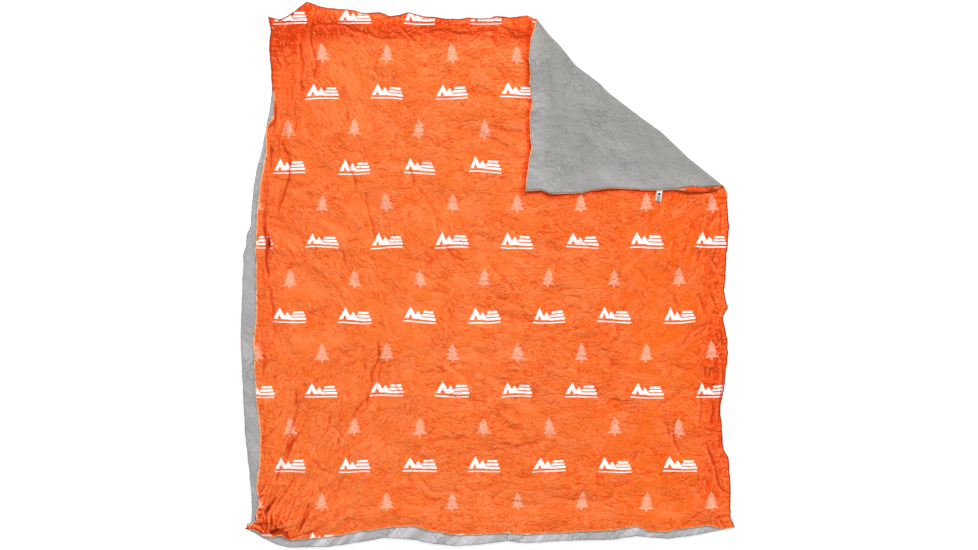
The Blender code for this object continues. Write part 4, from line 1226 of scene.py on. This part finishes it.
def layFace(material):
    def showing(x, y, upright):
        return (fromBend(x, y)[1] < faceSheet["pastBend"]) & (insideFlap(x, y) < faceSheet["underFlap"])

    def inCorner(x, y, limits):
        return (x < limits[0]) & (y < limits[1])

    def nearHem(x, y, upright):
        side = np.minimum(x - leftX(y) - leftRoll(y), rightX(y) - x)
        level = np.minimum(y - bottomY(x) - bottomRoll(x), topY(x) - y)
        near = (side if upright else level) < faceSheet["hem"]
        return near & showing(x, y, upright) & ~inCorner(x, y, corner["finer"])

    def folded(x, y, upright):
        return ((lineAt(x, y) > 0.06) | inCorner(x, y, corner["finer"])) & showing(x, y, upright)

    def gatheredMost(x, y, upright):
        return inCorner(x, y, corner["finest"])

    shape = sheetGrid(faceEdges, faceSheet["cell"], [showing, nearHem, folded, gatheredMost])
    keepCut(shape)
    flat = coordsOf(shape)
    x, y = flat[:, 0], flat[:, 1]
    moveTo(shape, lie(x, y, faceHeight(x, y)))
    out = fromBend(x, y)[1]
    lower = out < -20 * mm
    hidden = out > halfTurn

    # painted shade along the edge of the seam, and a painted highlight on the hem where the back rolls over
    # or shows past it
    seam = np.minimum(rightX(y) - x, topY(x) - y)
    upperLeft = ease((y - 0.54) / (20 * mm))
    side = np.maximum(ease(1 - seam / (5 * mm)) * lower, ease(1 - (x - leftX(y)) / (5 * mm)) * upperLeft)
    leftLine = ease(1 - (x - faceEdges["left"](y)) / (7 * mm)) * (1 - upperLeft)
    lowLine = ease(1 - (y - faceEdges["bottom"](x)) / (6 * mm)) * (1 - 0.15 * ease((x + 0.58) / 0.1))
    fromTip = np.hypot(x - corner["tip"][0], y - corner["tip"][1])
    hem = np.maximum(leftLine, lowLine) * ease((fromTip - 6 * mm) / (12 * mm))
    turnedSeam = np.minimum(faceRight(y) - x, topY(x) - y)
    past = x - rightX(y) + stack["seamInset"]
    strip = stripAt(y) * (past > -4 * mm)
    bare = ease(1 - turnedSeam / (4.5 * mm)) * (1 - strip)
    bare = np.maximum(bare, strip * ease(1 - np.abs(past - 1 * mm) / (3 * mm)))
    hem = np.maximum(hem, bare * hidden)

    # painted shadow beside the side and the foot of the turned corner
    flapShadow = np.exp(-((insideFlap(x, y) + 6 * mm) / (8 * mm)) ** 2) * (out < -10 * mm)
    creases = creaseOf(x, y, faceMap, puckerMap)
    middle, reach = faceSheet["sideHem"]
    # more painted shade and highlight on the creases in the gathered corner and along the right hem
    gather = 0.28 * np.exp(-((rightX(y) - x - middle) / reach) ** 2)
    gather = np.maximum(nearness(x, y, corner["shadeSpot"], corner["shadeReach"]), gather) * lower
    lines = lineAt(x, y) * (out < 0)
    # painted shade: the listed spots, the shadow beside the turned corner, the strip under its foot, the
    # fold lines and the corner's valleys
    lightAndShade = spotted(x, y, faceTones) * np.clip(1 + 0.45 * creases, 0.45, 1.7)
    lightAndShade = lightAndShade + flapShadow + 0.5 * strip * hidden + 0.3 * lines + 0.5 * gather * np.clip(creases, 0, 2)
    # painted shade at the outlines, the corner's hollows and the fold lines; below zero, the painted
    # highlight on the hems
    rim = 1.7 * side - hem * (side < 0.01) + spotted(x, y, cornerShades)
    rim = rim + 0.8 * lines + 0.22 * gather * np.clip(creases, 0, 3)
    marks = {"crease": creases * (1 + gather), "lightAndShade": lightAndShade, "rim": rim, "grain": grainOf(x, y)}
    return finishSheet("blanketFace", shape, material, marks, faceSheet["most"])


def spotted(x, y, spots):
    total = np.zeros_like(x)
    for sx, sy, wide, tall, turned, amount in spots:
        c, s = math.cos(math.radians(turned)), math.sin(math.radians(turned))
        dx, dy = x - sx * cm, y - sy * cm
        u, v = (dx * c + dy * s) / (wide * cm), (dy * c - dx * s) / (tall * cm)
        total = total + amount * np.exp(-(u**2 + v**2) ** 1.5)
    return total


def grainOf(x, y):
    # the shares of the three headings of the crinkle, and in the last column whether it is printed
    heading, spread = grainAt(x, y)
    loose = np.clip(spread / math.radians(60), 0, 0.6)
    shares = [
        np.clip(np.cos(heading - math.radians(turned)) ** 2 - 0.25, 0, 1) / 0.75
        for turned in crinkle["headings"]
    ]
    total = sum(shares)
    shares = [share / total * (1 - loose) + loose / 3 for share in shares]
    outer = (fromBend(x, y)[1] <= 0).astype(float)
    return np.stack([*shares, outer], axis=1)


def lineAt(x, y):
    return readMap(faceMap["lines"], faceMap, x, y) + readMap(puckerMap["lines"], puckerMap, x, y)


def creaseOf(x, y, *charts):
    lower = sum(readMap(valleys(chart), chart, x, y) for chart in charts)
    upper = readMap(valleys(flapMap), flapMap, *openedLanding(x, y))
    return np.where(fromBend(x, y)[1] > 0, upper, lower).astype(np.float32)


# The grey back sheet, with the bands that roll over the left and bottom edges
backSheet = {"cell": 14 * mm, "most": 180000, "chainCuts": 3, "pastBend": -20 * mm}


def rollOrder(verts, across, up):
    # down the left edge and then along the bottom one
    left = [vert for vert in verts if vert[across] < 1e-6]
    low = [vert for vert in verts if vert[up] < 1e-6 <= vert[across]]
    return sorted(left, key=lambda vert: -vert[up]) + sorted(low, key=lambda vert: vert[across])


def softSlant(run):
    return np.sin(run / 0.11) + 0.7 * np.sin(run / 0.047 + 1)


def bandPuckers(run):
    # two uneven lines of ridges along the rolled band, and one of flat facets
    fine = np.arange(0, run[-1] + 0.01, 1 * mm)
    lines = []
    for _ in range(2):
        line = np.zeros_like(fine)
        place = 0.0
        while place < fine[-1]:
            tall, wide = chance.uniform(0.3, 1.6), chance.uniform(2.0, 5.0) * mm
            line += tall * np.exp(-np.abs(fine - place) / wide)
            place += chance.uniform(7, 24) * mm
        lines.append(np.interp(run, fine, line))
    planes = np.zeros_like(fine)
    place = 0.0
    while place < fine[-1]:
        planes[fine >= place] = chance.uniform(-1, 1)
        place += chance.uniform(12, 55) * mm
    return [*lines, np.interp(run, fine, softened(planes, 2.5))]


def rollRings(run, width):
    # each ring of the roll, round the edge and then flat over the face: how far in it lies, how
    # high, the length of cloth up to it, and its ridges and facets, which run aslant
    radius = rollRadius(width)
    swell, ridges, planes = bandPuckers(run)
    rings = []
    for ring in range(1, roll["aroundCuts"] + roll["lapCuts"] + 1):
        if ring <= roll["aroundCuts"]:
            angle = math.pi * ring / roll["aroundCuts"]
            inward = radius * (1 - math.sin(angle) * (1 + 0.10 * swell * math.sin(angle / 2) ** 2))
            arc, rise, shown = radius * angle, radius * (1 - math.cos(angle)), (1 - math.cos(angle)) / 2
        else:
            share = (ring - roll["aroundCuts"]) / roll["lapCuts"]
            lap = (width + roll["lap"] - radius) * share
            inward, arc, rise = radius + lap, radius * math.pi + lap, 2 * radius
            shown = 1 - ease((share - 0.35) / 0.4)
        slide = run - arc + roll["slant"] * softSlant(run)
        ridge, plane = np.interp(slide, run, ridges), np.interp(slide, run, planes)
        rings.append((inward, rise + roll["ridge"] * ridge * shown, arc, ridge, plane))
    return rings


def layBack(material):
    def turnedOver(x, y, upright):
        return fromBend(x, y)[1] > backSheet["pastBend"]

    shape = sheetGrid(backEdges, backSheet["cell"], [turnedOver, turnedOver])
    for name in ("ringAngle", "rib"):
        shape.verts.layers.float.new(name)
    across, up = (shape.verts.layers.float[name] for name in ("across", "up"))
    chain = rollOrder(shape.verts, across, up)
    lengths = [shape.edges.get(pair) for pair in zip(chain, chain[1:])]
    bmesh.ops.subdivide_edges(shape, edges=lengths, cuts=backSheet["chainCuts"])
    keepCut(shape)
    layers = ("across", "up", "cutX", "cutY", "ringAngle", "rib")
    across, up, cutX, cutY, ringAngle, rib = (shape.verts.layers.float[name] for name in layers)
    chain = rollOrder(shape.verts, across, up)
    edgesNow = [shape.edges.get(pair) for pair in zip(chain, chain[1:])]
    start = np.array([vert.co[:2] for vert in chain])
    atEdge = np.array([(vert[across] < 1e-6, vert[up] < 1e-6) for vert in chain])
    flat = coordsOf(shape)
    x, y = flat[:, 0], flat[:, 1]
    moveTo(shape, lie(x, y, np.full_like(x, stack["foot"])))
    shape.verts.index_update()
    edge = np.where(atEdge, np.stack([leftX(start[:, 1]), bottomY(start[:, 0])], axis=1), start)
    width = np.where(atEdge[:, 0], leftRoll(start[:, 1]), bottomRoll(start[:, 0]))
    tuck = roll["tuck"] * (1 - ease(width / (8 * mm)))
    run = np.concatenate([[0], np.cumsum(np.hypot(*np.diff(start, axis=0).T))])
    for number, (inward, rise, arc, ridge, plane) in enumerate(rollRings(run, width), 1):
        made = bmesh.ops.extrude_edge_only(shape, edges=edgesNow)["geom"]
        fresh = {part for part in made if isinstance(part, bmesh.types.BMVert)}
        edgesNow = [part for part in made if isinstance(part, bmesh.types.BMEdge)]
        edgesNow = [line for line in edgesNow if set(line.verts) <= fresh]
        places = edge + (inward + tuck)[:, None] * atEdge
        cuts = start - arc[:, None] * atEdge
        facets = ridge + np.where(atEdge[:, 1], 0.9, 0.45) * plane
        for index, vert in enumerate(rollOrder(fresh, across, up)):
            vert.co = (*places[index], stack["foot"] + rise[index])
            vert[cutX], vert[cutY] = cuts[index]
            vert[ringAngle] = number / roll["aroundCuts"]
            vert[rib] = facets[index]
    bmesh.ops.triangulate(shape, faces=[face for face in shape.faces if len(face.verts) > 4])
    kept = np.array([[vert[layer] for layer in (cutX, cutY, ringAngle, rib)] for vert in shape.verts])
    x, y, rolled, ribs = kept.T
    out = fromBend(x, y)[1]
    land = openedLanding(x, y)
    low = ease((x - y - 0.02) / 0.1)  # nearer the bottom band than the left one
    ridges = np.clip((ribs - 0.9) / 0.9, -1, 1)
    # the rolled bands are painted lighter, the bottom one more, with a painted highlight on their ridges
    banded = 0.32 + 0.33 * low + (0.16 + 0.20 * low) * ridges
    # painted shade along the outer edge of the roll and along the bend of the turned corner
    rim = 0.5 * np.exp(-((rolled - 0.42) / 0.16) ** 2) + 0.9 * np.exp(-((out - 11 * mm) / (4 * mm)) ** 2)
    marks = {
        "crease": creaseOf(x, y, quietMap),
        "lightAndShade": spotted(*land, flapTones) * (out > 0) + banded * (rolled > 0),
        "rim": rim,
        "grain": grainOf(*land),
    }
    return finishSheet("blanketBack", shape, material, marks, backSheet["most"])


quietMap = heightMap()
blanketFace = layFace(faceMaterial())
blanketBack = layBack(backMaterial())
print("both sheets laid")

# The snap tab that comes out of the seam, and its press stud
tabFrame = (
    Matrix.Translation(tab["place"])
    @ Matrix.Rotation(math.radians(tab["turn"]), 4, "Z")
    @ Matrix.Rotation(math.radians(tab["tilt"]), 4, "X")
)
stud = {
    "fromEdge": 17 * mm,
    "lift": 1.0 * mm,  # of its foot above the middle of the tape
    "steps": 64,
    "profile": [
        (0, 1.0), (4.1, 1.0), (4.25, 1.15), (4.3, 2.3), (4.5, 2.75), (4.9, 3.0), (5.5, 3.0),
        (6.2, 2.8), (6.7, 2.35), (7.0, 1.6), (7.0, 0.7), (6.75, 0.15), (6.3, 0), (0, 0),
    ],
    "recess": 4.2 * mm,
}


def tabPlace(nodes):
    # object coordinates in the tab's own frame
    place = nodes.add("TexCoord").outputs["Object"]
    return nodes.parts(nodes.framed(place, Location=tabFrame.translation, Rotation=tabFrame.to_euler()))


def tapeMaterial():
    look = {
        "tape": (0.40, 0.375, 0.33, 1),
        "gap": (0.20, 0.185, 0.16, 1),
        "selvedge": (0.78, 0.77, 0.74, 1),
    }
    nodes = Nodes("woven grey tape")
    x, y, _ = tabPlace(nodes)
    ribs = nodes.math("SINE", nodes.times(y, math.tau / tab["ribPitch"]))
    threads = nodes.math("SINE", nodes.times(x, math.tau / tab["threadPitch"]))
    weave = nodes.scaled(ribs, threads, 0.5)
    half = tab["halfWidth"]
    border = nodes.ramp(nodes.math("ABSOLUTE", x), half - 3.2 * mm, half - 2.2 * mm)
    ringed = nodes.ramp(y, -26.5 * mm, -24 * mm)
    pale = nodes.most(border, nodes.times(ringed, 0.8))
    colour = nodes.layered(look["tape"], look, (nodes.times(weave, 0.5), "gap"), (pale, "selvedge"))
    normal = nodes.bump(weave, 0.25 * mm, 0.8)
    return nodes.surface(Base_Color=colour, Roughness=0.85, Normal=normal, Specular_IOR_Level=0.2)


def studMaterial():
    # the pale ring colour is partly the metal's own and partly a painted highlight that stands in for its
    # shine, and the near-black hollow is painted shade in the recess
    look = {
        "ring": (0.80, 0.79, 0.77, 1),
        "worn": (0.60, 0.59, 0.57, 1),
        "hollowShade": (0.012, 0.011, 0.011, 1),
    }
    nodes = Nodes("pale highlit press stud")
    x, y, _ = tabPlace(nodes)
    y = nodes.plus(y, stud["fromEdge"])
    away = nodes.math("SQRT", nodes.scaled(x, x, nodes.times(y, y)))
    inside = nodes.ramp(away, stud["recess"] + 0.35 * mm, stud["recess"] - 0.1 * mm)
    worn = nodes.ramp(nodes.noise(nodes.add("TexCoord").outputs["Object"], 700, 3), 0.5, 0.7)
    colour = nodes.layered(look["ring"], look, (worn, "worn"), (inside, "hollowShade"))
    return nodes.surface(Base_Color=colour, Roughness=0.4, Specular_IOR_Level=0.4)


def turnStud(material):
    shape = bmesh.new()
    points = [shape.verts.new((away * mm, 0, up * mm)) for away, up in stud["profile"]]
    lines = [shape.edges.new(pair) for pair in zip(points, points[1:])]
    bmesh.ops.spin(
        shape, geom=points + lines, cent=(0, 0, 0), axis=(0, 0, 1), angle=math.tau,
        steps=stud["steps"], use_merge=True,
    )
    bmesh.ops.remove_doubles(shape, verts=shape.verts[:], dist=0.001 * mm)
    bmesh.ops.recalc_face_normals(shape, faces=shape.faces[:])
    place = tabFrame @ Matrix.Translation((0, -stud["fromEdge"], stud["lift"]))
    bmesh.ops.transform(shape, matrix=place, verts=shape.verts[:])
    piece = pieceOf("pressStud", shape, material)
    piece.data.set_sharp_from_angle(angle=math.radians(50))
    return piece


studLook = studMaterial()
pressStud = turnStud(studLook)
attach(pressStud, "root")
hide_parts("stud_socket")
for node, material in (("snap_tab", tapeMaterial()), ("stud_cap", studLook)):
    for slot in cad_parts[node].material_slots:
        slot.material = material
print("tab and stud dressed")

# Everything shares the solids' own centring
shift = Vector((*edgeLook["centring"], 0))
for piece in (blanketFace, blanketBack):
    piece.data.transform(Matrix.Translation(shift))
    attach(piece, "root")
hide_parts("face_sheet")
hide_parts("back_sheet")

# Floor, light and camera
bpy.ops.mesh.primitive_plane_add(size=14, location=(0, 0, -0.2 * mm))
floor = bpy.context.object
floor.name = "floor"
floorNodes = Nodes("pale floor")
floorNodes.surface(Base_Color=(0.4, 0.4, 0.4, 1), Roughness=0.9, Specular_IOR_Level=0.0)
floorNodes.surface(Emission_Color=(1, 1, 1, 1), Emission_Strength=0.66)
floor.data.materials.append(floorNodes.material)

world = scene.world or bpy.data.worlds.new("soft room")
scene.world = world
world.use_nodes = True
world.node_tree.nodes["Background"].inputs["Color"].default_value = (1, 1, 1, 1)
world.node_tree.nodes["Background"].inputs["Strength"].default_value = 0.60


def softLight(name, place, size, watts):
    lamp = bpy.data.lights.new(name, "AREA")
    lamp.shape = "DISK"
    lamp.size = size
    lamp.energy = watts
    holder = bpy.data.objects.new(name, lamp)
    holder.location = place
    holder.rotation_euler = (-Vector(place)).to_track_quat("-Z", "Y").to_euler()
    scene.collection.objects.link(holder)


softLight("key", (3.0, 8.1, 9.8), 2.4, 1480)
softLight("fill", (-7.0, 3.0, 8.0), 5, 100)

view = {"lens": 85, "sensor": 36, "aim": (0.003, -0.0015), "metresWide": 2.934}
lens = bpy.data.cameras.new("camera")
lens.lens = view["lens"]
lens.sensor_width = view["sensor"]
camera = bpy.data.objects.new("camera", lens)
height = view["metresWide"] * view["lens"] / view["sensor"]
camera.location = (*view["aim"], height + 8 * mm)
scene.collection.objects.link(camera)
scene.camera = camera
print("stage, light and camera set")
